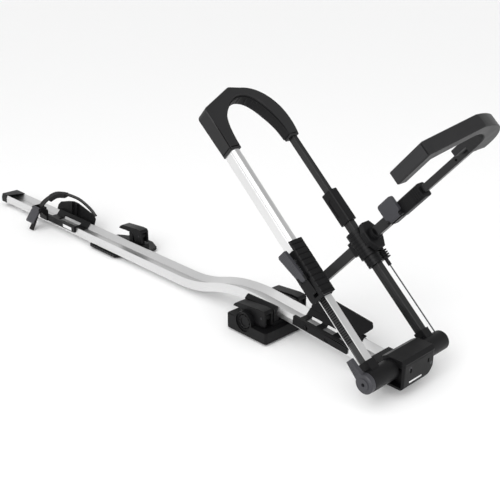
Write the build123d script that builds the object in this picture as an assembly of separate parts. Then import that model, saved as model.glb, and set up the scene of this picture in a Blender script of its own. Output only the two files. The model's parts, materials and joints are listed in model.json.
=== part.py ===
"""Upright bike carrier for a car roof: a bent aluminium wheel tray on two bar brackets,
with a folding hoop that hooks over the front wheel and a second hooked arm that crosses it.

Frame: millimetres, +X to the front of the car, +Y to the far side, +Z up. The origin is the
middle of the front bracket's seat on the roof bar. The hoop and everything on it is drawn
lying flat, with the hinge axis at zero and the arms along -X, and is then raised.
"""
from build123d import *
from math import cos, pi, radians, sin, sqrt, tan
import os

# Tray: side profile and section
TRAY_WIDTH = 59.0
TRAY_HEIGHT = 22.3
TRAY_SIDE = 11.9
TRAY_WALL = 2.4
CHAMBER_SHARE = 0.75
TRAY_RIM = 1.6
TRAY_SHOULDER = 3.6
GUTTER_WIDTH = 24.0
GUTTER_FLOOR = 8.6
SLOT_MOUTH = 10.0
SLOT_WIDTH = 18.0
SLOT_LIP = 2.0
TRAY_REAR_X = -1232.0
TRAY_FRONT_X = 350.0
TRAY_SEAT_Z = 14.0
BEND_START_X = -306.0
RISE_RADIUS = 368.0
FALL_RADIUS = 409.0
RISE_ANGLE = 19.7
NOSE_SLOPE = 4.9

# Rear end cap
CAP_WALL = 1.6
CAP_END = 5.0
CAP_LENGTH = 46.0
CAP_SLANT = 24.0

# Hinge across the front of the tray
HINGE_X = 380.0
HINGE_Z = 62.0
ARM_LIFT = 42.3
AXLE_RADIUS = 8.0
BARREL_RADIUS = 21.5
BUSH_WALL = 3.0
BUSH_LENGTH = 14.0
RUN_FIT = 0.06
SIDE_GAP = 0.5
SLIDE_GAP = 0.4
NEAR_BARREL_END = 118.0
FAR_BARREL_END = 126.0
FAR_CAP_THICK = 6.0
FAR_CAP_ROUND = 3.6

# Hinge housing
HOUSING_REAR_X = 354.0
HOUSING_FRONT_X = 412.0
HOUSING_BOTTOM_Z = 23.0
HOUSING_SEAM_Z = 77.0
HOUSING_TOP_Z = 88.0
HOUSING_NEAR_Y = -45.0
HOUSING_FAR_Y = 62.0
HOUSING_CORNER = 7.0
HOUSING_WALL = 5.0
HOUSING_POCKET = 15.0
HOUSING_FAR_ROUND = 42.0
HOUSING_FRONT_ROUND = 8.0
NECK_REAR_X = 316.0
NECK_WALL = 4.0
COVER_SEAM = 0.6
COVER_CREASE = 10.0
AXLE_BOSS_RADIUS = 14.0
LOCK_RADIUS = 4.5
LOCK_DEPTH = 12.0
LOCK_Y = -22.0
LOCK_Z = 66.0
KEY_SLOT = 1.6
KEY_LENGTH = 6.5
HOUSING_SCREW_Y = 50.0
HOUSING_SCREW_Z = 52.0

# Hinge lock at the near end
KNOB_THICK = 13.0
KNOB_RADIUS = 21.0
KNOB_HUB_RADIUS = 12.5
KNOB_STEP = 1.6
KNOB_HOLE_RADIUS = 4.0
KNOB_BEVEL = 2.5
KNOB_LEVER_LENGTH = 54.0
KNOB_LEVER_TIP = 13.0
KNOB_LEVER_ROOT = 22.0
KNOB_LEVER_THICK = 10.0
KNOB_RIB = 2.2
KNOB_RIB_PITCH = 5.0

# Hoop arms
ARM_Y = 92.5
ARM_ROOT = 16.0
SOCKET_LENGTH = 37.0
SOCKET_WALL = 2.5
RAIL_HEIGHT = 24.0
RAIL_WIDTH = 18.0
RAIL_WALL = 1.8
RAIL_END = 440.0
RACK_WIDTH = 20.0
RACK_BASE = 3.4
TOOTH_DEPTH = 2.4
TOOTH_PITCH = 5.0
TOOTH_LAND = 1.2
TEETH_START = 80.0
TEETH_COUNT = 52
RACK_TAIL = 14.0
TUBE_HEIGHT = 33.0
TUBE_WIDTH = 23.6
TUBE_ROUND = 9.0
TUBE_CORNER = 1.5
TUBE_START = 222.0
TUBE_END = 600.0
TUBE_GROOVE = 1.0
FAR_TUBE_HEIGHT = 21.0
FAR_TUBE_WIDTH = 17.0
FAR_TUBE_WALL = 1.4
FAR_TUBE_END = 392.0
FAR_TUBE_GROOVE = 2.4
FAR_TUBE_GROOVE_DEPTH = 0.6
BAR_HEIGHT = 17.0
BAR_WIDTH = 13.2
BAR_START = 230.0
BAR_LEAD = 10.0
BAR_CORNER = 1.5
SLEEVE_START = 317.0
SLEEVE_END = 399.0
SLEEVE_HEIGHT = 33.0
SLEEVE_WIDTH = 27.0
SLEEVE_ROUND = 6.0
SLEEVE_DISH_LENGTH = 46.0
SLEEVE_DISH_WIDTH = 14.0
SLEEVE_DISH_DEPTH = 1.6

# Front hook, a lopsided loop on top of the two arms
HOOK_LAP = 48.0
HOOK_TAPER_SHARE = 0.7
HOOK_TAPER_SPAN = (27.0, 128.0)
HOOK_LENGTH = 152.0
HOOK_HALF = 107.0
HOOK_THICK = 37.0
HOOK_FAR_THICK = 23.0
HOOK_EDGE = 4.0
HOOK_PAD_THICK = 5.0
HOOK_PAD_WIDTH = 24.0
HOOK_PAD_SINK = 2.0
HOOK_CORNER = 14.0
HOOK_OUTER_SHARES = ((0.0, -1.0), (0.72, -1.035), (1.0, -0.12), (0.955, 0.18))
HOOK_CROWN_SHARES = ((0.955, 0.18), (0.80, 0.66), (0.49, 0.93), (0.0, 0.97))
HOOK_INNER_SHARES = (
    (0.0, 0.73), (0.16, 0.71), (0.51, 0.57), (0.80, 0.24), (0.83, 0.0),
    (0.76, -0.26), (0.55, -0.57), (0.30, -0.69), (0.0, -0.73),
)

# Ratchet on the near arm
RATCHET_START = 187.0
RATCHET_END = 300.0
RATCHET_LOW = -25.0
RATCHET_HIGH = 18.0
RATCHET_NEAR_Y = -110.0
RATCHET_FAR_Y = -79.0
RATCHET_CORNER = 9.0
RIB_COVER_START = 189.0
RIB_COVER_END = 318.0
RIB_COVER_THICK = 4.5
RIB_COVER_LIP = 3.0
RIB_COVER_DROP = 11.0
RIB_GROOVE = 2.0
RIB_PITCH = 12.5
PIVOT_A = 240.0
PIVOT_Y = -113.5
PIVOT_RADIUS = 2.5
LEVER_HUB_RADIUS = 5.5
LEVER_TIP_A = 306.0
LEVER_LOW = -19.0
LEVER_HIGH = 8.0
LEVER_ROUND = 6.0
LEVER_TIP_Y = -127.5
LEVER_THICK = 8.0
LEVER_ROOT_A = 247.0
LEVER_RIB = 1.2
LEVER_RIB_PITCH = 6.0
PAWL_WIDTH = 14.0
PAWL_TIP_A = 201.0
PAWL_THICK = 6.0
PAWL_CLEAR = 0.3
PAWL_HEEL = 1.2
PAWL_HUB_SHARE = 0.7
SPRING_LEAF = 0.8
SPRING_WIDTH = 8.0
SPRING_START_A = 252.0
SPRING_END_A = 284.0

# Collar where the second arm crosses the far arm
CROSS_A = 261.0
COLLAR_START = 206.0
COLLAR_END = 292.0
COLLAR_RADIUS = 23.0
COLLAR_LOW_RADIUS = 19.0
COLLAR_STEP_A = 229.0
COLLAR_GROOVE = 2.2
COLLAR_RING_PITCH = 8.0
FLANGE_INNER = 27.0
FLANGE_THICK = 15.0
FLANGE_HALF_LENGTH = 33.0
FLANGE_HALF_WIDTH = 23.0
FLANGE_CUT_LENGTH = 21.0
FLANGE_CUT_WIDTH = 12.0
NECK_LENGTH = 34.0
NECK_WIDTH = 30.0
ROD_Y = 119.0
ROD_N = 8.0
ROD_RADIUS = 1.5
ROD_START = 17.0
ROD_END = 236.0
BOOT_RADIUS = 8.0
BOOT_GROOVE = 1.8
BOOT_RIBS = 5
BOOT_RIB_PITCH = 4.4
FITTING_RADIUS = 4.2
FITTING_LENGTH = 16.0
LUG_LENGTH = 11.0
LUG_RADIUS = 8.0

# Second arm and its hook
SECOND_DEPTH = 23.0
SECOND_WIDTH = 17.0
SECOND_WALL = 1.4
SECOND_END = 206.0
TAIL_END = 166.0
SECOND_BAR_DEPTH = 16.0
SECOND_BAR_WIDTH = 13.2
SECOND_BAR_START = 108.0
SECOND_BAR_LAP = 66.0
CLAMP_START = 106.0
CLAMP_END = 152.0
CLAMP_DEPTH = 29.0
CLAMP_WIDTH = 23.0
SECOND_SLEEVE_END = 214.0
SECOND_SLEEVE_DEPTH = 32.0
SECOND_SLEEVE_WIDTH = 27.0
SECOND_SLEEVE_ROUND = 6.0
SLEEVE_RING = 1.2
SLEEVE_RING_PITCH = 6.0
SLEEVE_RINGS = 4
FLIP_THICK = 8.0
FLIP_LOW_A = 247.0
FLIP_HIGH_A = 294.0
FLIP_CORNER = 7.0
FLIP_PIVOT_A = 252.0
FLIP_PIN_RADIUS = 2.0
SECOND_HOOK_ROOT = 318.0
SECOND_HOOK_LENGTH = 147.0
SECOND_HOOK_HALF = 107.0
SECOND_HOOK_THICK = 27.0
SECOND_HOOK_EDGE = 3.0
SECOND_HOOK_BAND = 24.0
SECOND_OUTER_SHARES = ((0.08, -1.12), (0.70, -1.14), (1.0, -0.10))
SECOND_CROWN_SHARES = ((1.0, -0.10), (0.93, 0.40), (0.73, 0.83), (0.50, 1.02), (0.33, 1.03))
SECOND_LOBE_SHARES = (0.33, 0.12)
SECOND_INNER_SHARES = ((0.12, 0.57), (0.34, 0.56), (0.58, 0.52), (0.76, 0.26), (0.82, -0.10))
SECOND_RETURN_SHARES = ((0.82, -0.10), (0.55, -0.91), (0.08, -0.90))
TIP_PAD_THICK = 2.5
TIP_PAD_MARGIN = 4.0

# Front wheel cradle, drawn along the sloping nose of the tray
CRADLE_START = 108.0
CRADLE_END = 266.0
CRADLE_WALL = 3.5
CHEEK_REAR_HEIGHT = 25.3
CHEEK_FRONT_HEIGHT = 19.0
CHEEK_FLANGE = 9.0
CHEEK_SLOT_LENGTH = 12.0
CHEEK_SLOT_HEIGHT = 7.0
CHEEK_SLOT_DEPTH = 1.8
CHEEK_SLOT_SHARES = (0.2, 0.6)
CRADLE_WINDOWS = 3
BRIDGE_WIDTH = 16.0
BRIDGE_RISE = 3.0
WING_TOP = 57.0
WING_REAR_TOP = 36.0
WING_FOOT_Y = 30.0
WING_TOP_Y = 50.0
WING_WALL = 4.0
WING_RAMP = 52.0
WING_CORNER = 14.0
WING_ROUND = 5.5

# Front bracket under the tray
BASE_REAR_X = -66.0
BASE_FRONT_X = 64.0
BASE_NEAR_Y = -82.0
BASE_FAR_Y = 70.0
BASE_TOP_Z = 40.0
BASE_LEDGE_X = 50.0
BASE_LEDGE_Z = 30.0
BASE_CORNER = 6.0
PAD_THICK = 3.0
PAD_MARGIN = 5.0
SADDLE_HALF_LENGTH = 44.0
SADDLE_HALF_WIDTH = 24.0
JAW_THICK = 10.0
JAW_REAR_X = -48.0
JAW_LENGTH = 96.0
JAW_DROP = 14.0
JAW_LIP = 7.0
DIAL_X = -10.0
DIAL_Z = 34.0
DIAL_BOSS_RADIUS = 26.0
DIAL_RADIUS = 17.0
DIAL_HUB_RADIUS = 12.0
SHAFT_RADIUS = 4.5
DIAL_THICK = 12.0
DIAL_GRIPS = 10
SHAFT_REACH = 20.0
DIAL_GRIP_RADIUS = 2.0
COVE_WIDTH = 3.5

# Cam levers and their towers, alike on both brackets
CAM_LEVER_LENGTH = 106.0
CAM_PIVOT_SHARE = 0.887
CAM_TOWER_SHARE = 1.0
CAM_PIVOT_Z = 55.0
CAM_PIN_RADIUS = 3.0
CAM_EYE_RADIUS = 8.0
CAM_SWING_RADIUS = 29.0
CAM_WIDTH = 26.0
CAM_CHEEK = 5.0
CAM_ROOF = 4.0
CAM_GAP = 0.5
CAM_TOWER_TOP = 56.0
CAM_SHELF_Z = 30.0
CAM_TOP_SHARES = (
    (0.0, 0.0), (0.05, 0.36), (0.15, 0.66), (0.40, 0.76), (0.80, 0.96), (0.96, 0.92), (1.0, 0.68),
)
CAM_UNDER_SHARES = ((1.0, -1.0), (0.72, -1.1), (0.62, 0.08), (0.30, 0.08), (0.12, 0.02))
CAM_RISE = 20.0
CAM_TIP_Z = 56.0
FRONT_CAM_X = -58.0
FRONT_CAM_Y = 56.0
REAR_CAM_X = -661.0
REAR_CAM_Y = 50.0
BOLT_RADIUS = 4.0
BOLT_HEAD_RADIUS = 7.0
BOLT_HEAD_THICK = 4.0
BOLT_SHARE = 0.36
BOLT_BOTTOM_Z = 4.0
BOLT_WINDOW = 22.0
BOLT_WINDOW_LOW = 30.0

# Rear bracket
REAR_PLATE_TOP = 11.0
REAR_PLATE_NEAR_Y = -33.0
REAR_PLATE_FAR_Y = 108.0
REAR_PLATE_REAR_X = -716.0
REAR_PLATE_NECK_X = -592.0
REAR_PLATE_FRONT_X = -549.0
REAR_PLATE_CORNER = 16.0
REAR_PLATE_LONG_CORNER = 48.0
REAR_PLATE_CUT = 60.0
REAR_PLATE_CUT_WIDTH = 38.0
REAR_SADDLE_HALF = 26.0
PAD_RIB = 1.2
PAD_RIB_PITCH = 11.0

# Rear wheel holder that slides along the tray
HOLDER_REAR_X = -962.0
HOLDER_FRONT_X = -792.0
HOLDER_NEAR_TOP = 41.0
HOLDER_LOW_Z = 22.0
HOLDER_WALL = 4.0
HOLDER_FLOOR = 3.0
HOLDER_WINDOW_LENGTH = 92.0
HOLDER_WINDOW_WIDTH = 34.0
HOLDER_WALL_SHARES = (
    (-0.17, 0.12), (-0.13, 0.37), (-0.05, 0.54), (0.20, 0.71), (0.36, 0.79), (0.51, 0.79),
    (1.02, 0.55), (1.07, 0.40), (1.03, 0.12),
)
HOLDER_WALL_RISE = 70.0
HOLDER_RIB_THICK = 3.0
HOLDER_RIB_DEPTH = 5.0
HOLDER_RIB_SHARES = (0.36, 0.51)
STRAP_WIDTH = 22.0
STRAP_THICK = 3.0
STRAP_FOOT = (-785.0, 38.5)
STRAP_SPAN = (-177.0, -83.0)
STRAP_FOOT_Z = 57.0
STRAP_RISE = 57.0
STRAP_SHARES = (
    (0.0, 0.0), (0.09, 0.36), (0.26, 0.77), (0.42, 0.95), (0.56, 1.0),
    (0.70, 0.92), (0.84, 0.62), (0.93, 0.34), (1.0, 0.05),
)
STRAP_PAD_START = 0.45
STRAP_PAD_END = 0.72
STRAP_PAD_THICK = 9.0
STRAP_PAD_WIDTH = 26.0
STRAP_GAP = 0.3
BUCKLE_X = -962.0
BUCKLE_LENGTH = 42.0
BUCKLE_TOP_Z = 66.0
BUCKLE_DEPTH = 22.0
BUCKLE_CHEEK = 3.0
BUCKLE_PIN_RADIUS = 2.0
BUCKLE_EYE_RADIUS = 5.0
BUCKLE_LEVER_THICK = 5.0
BUCKLE_LEVER_REACH = 29.0
BUCKLE_LEVER_DROP = 33.0
STRAP_TAIL_REACH = 25.0
STRAP_TAIL_DROP = 50.0

# Shared small sizes
BAND_STEPS = 24
OVERRUN = 2.0
SCREW_HEAD_RADIUS = 4.0
SCREW_HEAD_THICK = 2.0
SCREW_SHANK_RADIUS = 2.0
SCREW_DEPTH = 9.0

half_width = TRAY_WIDTH / 2
knob_inner_y = -(NEAR_BARREL_END + SIDE_GAP)
knob_outer_y = knob_inner_y - KNOB_THICK
hook_root = TUBE_END - HOOK_LAP
bar_end = TUBE_END + BAR_LEAD
second_bar_end = SECOND_HOOK_ROOT + SECOND_BAR_LAP


# Building blocks
def block(x_range, y_range, z_range):
    """Box between two limits on each axis."""
    (x0, x1), (y0, y1), (z0, z1) = x_range, y_range, z_range
    middle = Pos((x0 + x1) / 2, (y0 + y1) / 2, (z0 + z1) / 2)
    return middle * Box(x1 - x0, y1 - y0, z1 - z0)


def bar_y(radius, y0, y1, x=0, z=0):
    """Round bar along Y."""
    return Pos(x, (y0 + y1) / 2, z) * Rot(90, 0, 0) * Cylinder(radius, y1 - y0)


def bar_x(radius, x0, x1, y=0, z=0):
    """Round bar along X."""
    return Pos((x0 + x1) / 2, y, z) * Rot(0, 90, 0) * Cylinder(radius, x1 - x0)


def bar_z(radius, z0, z1, x=0, y=0):
    """Round bar along Z."""
    return Pos(x, y, (z0 + z1) / 2) * Cylinder(radius, z1 - z0)


def side_prism(points, y0, y1, rounding=None):
    """Outline in X and Z, drawn out along Y."""
    line = outline(points, rounding)
    return extrude(Plane.XZ.offset(-y1) * make_face(line), y1 - y0)


def end_prism(points, x0, x1, rounding=None):
    """Outline in Y and Z, drawn out along X."""
    line = outline(points, rounding)
    return extrude(Plane.YZ.offset(x0) * make_face(line), x1 - x0)


def plan_prism(points, z0, z1, rounding=None):
    """Outline in X and Y, drawn out along Z."""
    line = outline(points, rounding)
    return extrude(Plane.XY.offset(z0) * make_face(line), z1 - z0)


def outline(points, rounding=None):
    """Closed line through the points, with every corner rounded alike if asked."""
    if rounding:
        return FilletPolyline(*points, radius=rounding, close=True)
    return Polyline(*points, close=True)


def rounded_bar(x0, x1, y, z, width, height, rounding):
    """Bar along X with a rounded rectangular section centred on y and z."""
    section = Plane.YZ.offset(x0) * Pos(y, z) * RectangleRounded(width, height, rounding)
    return extrude(section, x1 - x0)


def rounded_post(z0, z1, x, y, depth, width, rounding):
    """Bar along Z with a rounded rectangular section centred on x and y."""
    section = Plane.XY.offset(z0) * Pos(x, y) * RectangleRounded(depth, width, rounding)
    return extrude(section, z1 - z0)


def joined(lines):
    """One wire from lines that follow each other."""
    return Wire([edge for line in lines for edge in line.edges()])


def band_face(line, left, right, start=0, end=1):
    """Face between two curves that follow part of a line at set distances to its left."""
    sides = []
    for distance in (left, right):
        points = []
        for step in range(BAND_STEPS + 1):
            at = start + (end - start) * step / BAND_STEPS
            slope = line % at
            point = line @ at
            points.append((point.X - slope.Y * distance, point.Y + slope.X * distance))
        sides.append(points)
    first, second = sides
    ends = Line(first[-1], second[-1]), Line(second[0], first[0])
    return make_face(joined([Spline(*first), ends[0], Spline(*reversed(second)), ends[1]]))


def raise_hoop(shape):
    """Takes a shape from the flat drawing of the hoop to its place on the hinge."""
    return Pos(HINGE_X, 0, HINGE_Z) * Rot(0, ARM_LIFT, 0) * shape


def save(name, shape):
    """Writes one node."""
    export_step(shape, f"parts/{name}.step")


# Tray
def rise_point(angle):
    """Point on the tray's rising bend, at a slope in degrees."""
    turn = radians(angle)
    return Vector(BEND_START_X + RISE_RADIUS * sin(turn), 0, TRAY_SEAT_Z + RISE_RADIUS * (1 - cos(turn)))


def fall_point(angle):
    """Point on the tray's falling bend, at a slope in degrees."""
    top = rise_point(RISE_ANGLE)
    start = radians(RISE_ANGLE)
    turn = radians(angle)
    x = top.X + FALL_RADIUS * (sin(start) - sin(turn))
    z = top.Z + FALL_RADIUS * (cos(turn) - cos(start))
    return Vector(x, 0, z)


nose_start = fall_point(-NOSE_SLOPE)


def nose_z(x):
    """Height of the tray's underside on the sloping nose."""
    return nose_start.Z - (x - nose_start.X) * tan(radians(NOSE_SLOPE))


def on_nose(shape):
    """Takes a shape drawn on a level tray nose to its place on the slope."""
    return Pos(nose_start.X, 0, nose_start.Z) * Rot(0, NOSE_SLOPE, 0) * shape


def tray_path():
    """Underside of the tray, from the rear end to the hinge."""
    rear = Vector(TRAY_REAR_X, 0, TRAY_SEAT_Z)
    bend = Vector(BEND_START_X, 0, TRAY_SEAT_Z)
    top = rise_point(RISE_ANGLE)
    front = Vector(TRAY_FRONT_X, 0, nose_z(TRAY_FRONT_X))
    rise = ThreePointArc(bend, rise_point(RISE_ANGLE / 2), top)
    fall = ThreePointArc(top, fall_point((RISE_ANGLE - NOSE_SLOPE) / 2), nose_start)
    return Wire([Line(rear, bend), rise, fall, Line(nose_start, front)])


def tray_outline():
    """Half of the tray's outer section, from the gutter floor round to the underside."""
    peak = half_width - TRAY_SHOULDER
    return [
        (GUTTER_WIDTH / 2, GUTTER_FLOOR), (peak - TRAY_RIM, TRAY_HEIGHT), (peak, TRAY_HEIGHT),
        (half_width, TRAY_SIDE), (half_width, 0),
    ]


def mirrored(points):
    """Closed outline from its right half."""
    return points + [(-y, z) for y, z in reversed(points)]


def tray_chamber(side):
    """Hollow inside one side of the tray."""
    slope = TRAY_WALL * CHAMBER_SHARE
    inner = GUTTER_WIDTH / 2 + slope
    peak = half_width - TRAY_SHOULDER - TRAY_WALL
    low = GUTTER_FLOOR - slope
    run = peak - inner
    rise = (TRAY_HEIGHT - GUTTER_FLOOR) / (half_width - TRAY_SHOULDER - TRAY_RIM - GUTTER_WIDTH / 2)
    points = [
        (inner, TRAY_WALL), (inner, low), (peak, low + run * rise),
        (half_width - TRAY_WALL, TRAY_SIDE), (half_width - TRAY_WALL, TRAY_WALL),
    ]
    return Polyline(*[(side * y, z) for y, z in points], close=True)


def tray_slot():
    """Bolt slot under the tray."""
    roof = GUTTER_FLOOR - TRAY_WALL
    half = [(SLOT_WIDTH / 2, roof), (SLOT_WIDTH / 2, SLOT_LIP), (SLOT_MOUTH / 2, SLOT_LIP), (SLOT_MOUTH / 2, 0)]
    return Polyline(*mirrored(half), close=True)


section_plane = Plane(origin=(TRAY_REAR_X, 0, TRAY_SEAT_Z), x_dir=(0, 1, 0), z_dir=(1, 0, 0))


def make_tray():
    """Bent extrusion with a gutter for the tyres, two hollows and a bolt slot."""
    section = make_face(Polyline(*mirrored(tray_outline()), close=True))
    section -= make_face(tray_slot())
    section -= make_face(tray_chamber(1))
    section -= make_face(tray_chamber(-1))
    return sweep(section_plane * section, path=tray_path())


def make_tray_envelope():
    """The tray filled in, for cutting what seats against it."""
    section = make_face(Polyline(*mirrored(tray_outline()), close=True))
    return sweep(section_plane * section, path=tray_path())


def make_end_cap():
    """Plastic cap that closes the rear end over the gutter, cut on a slant."""
    inner = make_face(Polyline(*mirrored(tray_outline()[2:]), close=True))
    outer = offset(inner, CAP_WALL, kind=Kind.INTERSECTION)
    sleeve = extrude(section_plane * (outer - inner), CAP_LENGTH)
    plate = extrude(section_plane * outer, -CAP_END)
    slant = plan_prism(
        [
            (TRAY_REAR_X + CAP_LENGTH - CAP_SLANT, -half_width - OVERRUN - CAP_WALL),
            (TRAY_REAR_X + CAP_LENGTH + OVERRUN, half_width),
            (TRAY_REAR_X + CAP_LENGTH + OVERRUN, -half_width - OVERRUN - CAP_WALL),
        ],
        0, TRAY_SEAT_Z + TRAY_HEIGHT + CAP_WALL + OVERRUN,
    )
    return plate + (sleeve - slant)


# Hinge housing
def housing_outline(z_low, z_high):
    """Rounded block of the hinge housing between two heights."""
    points = [
        (HOUSING_REAR_X, HOUSING_NEAR_Y), (HOUSING_FRONT_X, HOUSING_NEAR_Y),
        (HOUSING_FRONT_X, HOUSING_FAR_Y), (HOUSING_REAR_X, HOUSING_FAR_Y),
    ]
    return plan_prism(points, z_low, z_high, HOUSING_CORNER)


def make_housing(envelope):
    """Moulded block on the nose of the tray that carries the hinge axle."""
    body = housing_outline(HOUSING_BOTTOM_Z, HOUSING_SEAM_Z - COVER_SEAM)
    hollow = block(
        (HOUSING_REAR_X + HOUSING_WALL, HOUSING_FRONT_X - HOUSING_WALL - LOCK_DEPTH),
        (HOUSING_NEAR_Y + HOUSING_POCKET + HOUSING_WALL, HOUSING_FAR_Y - HOUSING_WALL),
        (HOUSING_BOTTOM_Z, HOUSING_SEAM_Z - COVER_SEAM - HOUSING_WALL),
    )
    pocket = block(
        (HINGE_X, HOUSING_FRONT_X - HOUSING_WALL),
        (HOUSING_NEAR_Y, HOUSING_NEAR_Y + HOUSING_POCKET),
        (HOUSING_BOTTOM_Z + HOUSING_WALL, HOUSING_SEAM_Z - HOUSING_WALL),
    )
    boss = bar_y(AXLE_BOSS_RADIUS, HOUSING_NEAR_Y, HOUSING_FAR_Y, HINGE_X, HINGE_Z)
    neck = block(
        (NECK_REAR_X, HOUSING_REAR_X + HOUSING_WALL),
        (-half_width - NECK_WALL, half_width + NECK_WALL),
        (nose_z(HOUSING_REAR_X) - NECK_WALL, nose_z(NECK_REAR_X) + TRAY_HEIGHT + NECK_WALL),
    )
    body = body - (hollow - far_corner(HOUSING_WALL)) - pocket + boss + neck
    body -= envelope
    body -= bar_y(AXLE_RADIUS, HOUSING_NEAR_Y, HOUSING_FAR_Y, HINGE_X, HINGE_Z)
    body -= bar_x(LOCK_RADIUS + RUN_FIT, HOUSING_FRONT_X - LOCK_DEPTH, HOUSING_FRONT_X, LOCK_Y, LOCK_Z)
    return body - make_screw() - far_corner() - front_corner()


def far_corner(wall=0):
    """What the large round takes off the housing at its far bottom, or off its hollow."""
    y = HOUSING_FAR_Y - HOUSING_FAR_ROUND
    z = HOUSING_BOTTOM_Z + HOUSING_FAR_ROUND
    corner = block(
        (HOUSING_REAR_X, HOUSING_FRONT_X), (y, HOUSING_FAR_Y), (HOUSING_BOTTOM_Z, z)
    )
    return corner - bar_x(HOUSING_FAR_ROUND - wall, HOUSING_REAR_X, HOUSING_FRONT_X, y, z)


def front_corner():
    """What the small round takes off the housing at the bottom of its front."""
    x = HOUSING_FRONT_X - HOUSING_FRONT_ROUND
    z = HOUSING_BOTTOM_Z + HOUSING_FRONT_ROUND
    corner = block((x, HOUSING_FRONT_X), (HOUSING_NEAR_Y, HOUSING_FAR_Y), (HOUSING_BOTTOM_Z, z))
    return corner - bar_y(HOUSING_FRONT_ROUND, HOUSING_NEAR_Y, HOUSING_FAR_Y, x, z)


def make_screw():
    """Housing screw with a low head sunk in the front face."""
    face = HOUSING_FRONT_X - SCREW_HEAD_THICK
    y, z = HOUSING_SCREW_Y, HOUSING_SCREW_Z
    head = bar_x(SCREW_HEAD_RADIUS, face, HOUSING_FRONT_X, y, z)
    return head + bar_x(SCREW_SHANK_RADIUS, face - SCREW_DEPTH, face, y, z)


def make_cover():
    """Lid of the housing, creased towards the rear."""
    lid = housing_outline(HOUSING_SEAM_Z, HOUSING_TOP_Z)
    slope = side_prism(
        [
            (HOUSING_REAR_X - OVERRUN, HOUSING_SEAM_Z + COVER_SEAM + OVERRUN),
            (HINGE_X - COVER_CREASE, HOUSING_TOP_Z + OVERRUN),
            (HOUSING_REAR_X - OVERRUN, HOUSING_TOP_Z + OVERRUN),
        ],
        HOUSING_NEAR_Y - OVERRUN, HOUSING_FAR_Y + OVERRUN,
    )
    front = side_prism(
        [
            (HOUSING_FRONT_X + OVERRUN, HOUSING_SEAM_Z + COVER_SEAM + OVERRUN),
            (HOUSING_FRONT_X - COVER_CREASE, HOUSING_TOP_Z + OVERRUN),
            (HOUSING_FRONT_X + OVERRUN, HOUSING_TOP_Z + OVERRUN),
        ],
        HOUSING_NEAR_Y - OVERRUN, HOUSING_FAR_Y + OVERRUN,
    )
    key_ridge = block(
        (HOUSING_REAR_X + HOUSING_CORNER, HOUSING_FRONT_X - HOUSING_CORNER),
        (HOUSING_NEAR_Y + HOUSING_CORNER, HOUSING_FAR_Y - HOUSING_CORNER),
        (HOUSING_SEAM_Z - COVER_SEAM, HOUSING_SEAM_Z),
    )
    return lid - slope - front + key_ridge


def make_lock():
    """Lock cylinder with its key slot."""
    turn = bar_x(LOCK_RADIUS, HOUSING_FRONT_X - LOCK_DEPTH, HOUSING_FRONT_X, LOCK_Y, LOCK_Z)
    slot = block(
        (HOUSING_FRONT_X - LOCK_DEPTH / 2, HOUSING_FRONT_X),
        (LOCK_Y - KEY_SLOT / 2, LOCK_Y + KEY_SLOT / 2),
        (LOCK_Z - KEY_LENGTH / 2, LOCK_Z + KEY_LENGTH / 2),
    )
    return turn - slot


def make_axle():
    """Axle across the tray, fixed in the housing."""
    end = FAR_BARREL_END - SIDE_GAP
    return bar_y(AXLE_RADIUS, knob_outer_y + HOUSING_WALL, end, HINGE_X, HINGE_Z)


# Hoop, drawn lying flat with the hinge axis at zero and the arms along -X
def barrel(y0, y1):
    """Round barrel on the axle."""
    bore = AXLE_RADIUS + BUSH_WALL
    return bar_y(BARREL_RADIUS, y0, y1) - bar_y(bore, y0, y1)


def socket(y, width, height):
    """Box on a barrel that takes the root of an arm."""
    return block(
        (-SOCKET_LENGTH, 0),
        (y - width / 2 - SOCKET_WALL, y + width / 2 + SOCKET_WALL),
        (-height / 2 - SOCKET_WALL, height / 2 + SOCKET_WALL),
    )


def root_space(y, width, height):
    """Space that the root of an arm fills in its socket."""
    return block((-SOCKET_LENGTH, -ARM_ROOT), (y - width / 2, y + width / 2), (-height / 2, height / 2))


near_barrel_limits = (-NEAR_BARREL_END, HOUSING_NEAR_Y - SIDE_GAP)
far_barrel_limits = (HOUSING_FAR_Y + SIDE_GAP, FAR_BARREL_END)


def make_near_barrel():
    """Near barrel with the socket of the toothed arm."""
    body = socket(-ARM_Y, RAIL_WIDTH, RAIL_HEIGHT) + barrel(*near_barrel_limits)
    body -= bar_y(AXLE_RADIUS + BUSH_WALL, *near_barrel_limits)
    return body - root_space(-ARM_Y, RAIL_WIDTH, RAIL_HEIGHT)


def make_far_barrel():
    """Far barrel with the socket of the plain arm and a seat for the guide rod."""
    body = socket(ARM_Y, FAR_TUBE_WIDTH, FAR_TUBE_HEIGHT) + barrel(*far_barrel_limits)
    body -= bar_y(AXLE_RADIUS + BUSH_WALL, *far_barrel_limits)
    body -= root_space(ARM_Y, FAR_TUBE_WIDTH, FAR_TUBE_HEIGHT)
    return body - bar_x(ROD_RADIUS, -ROD_END, -ROD_START, ROD_Y, ROD_N)


def make_far_cap():
    """Domed end of the far barrel."""
    disc = bar_y(BARREL_RADIUS, FAR_BARREL_END, FAR_BARREL_END + FAR_CAP_THICK)
    return fillet(disc.faces().sort_by(Axis.Y)[-1].edges(), FAR_CAP_ROUND)


def make_bushes():
    """Four plain bearings pressed into the ends of the barrels."""
    parts = []
    for low, high in (near_barrel_limits, far_barrel_limits):
        for start in (low, high - BUSH_LENGTH):
            ring = bar_y(AXLE_RADIUS + BUSH_WALL, start, start + BUSH_LENGTH)
            parts.append(ring - bar_y(AXLE_RADIUS + RUN_FIT, start, start + BUSH_LENGTH))
    return Compound(children=parts)


rack_floor_y = -ARM_Y - RAIL_WIDTH / 2 + RACK_BASE + TOOTH_DEPTH
RACK_END = TEETH_START + TEETH_COUNT * TOOTH_PITCH


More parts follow.
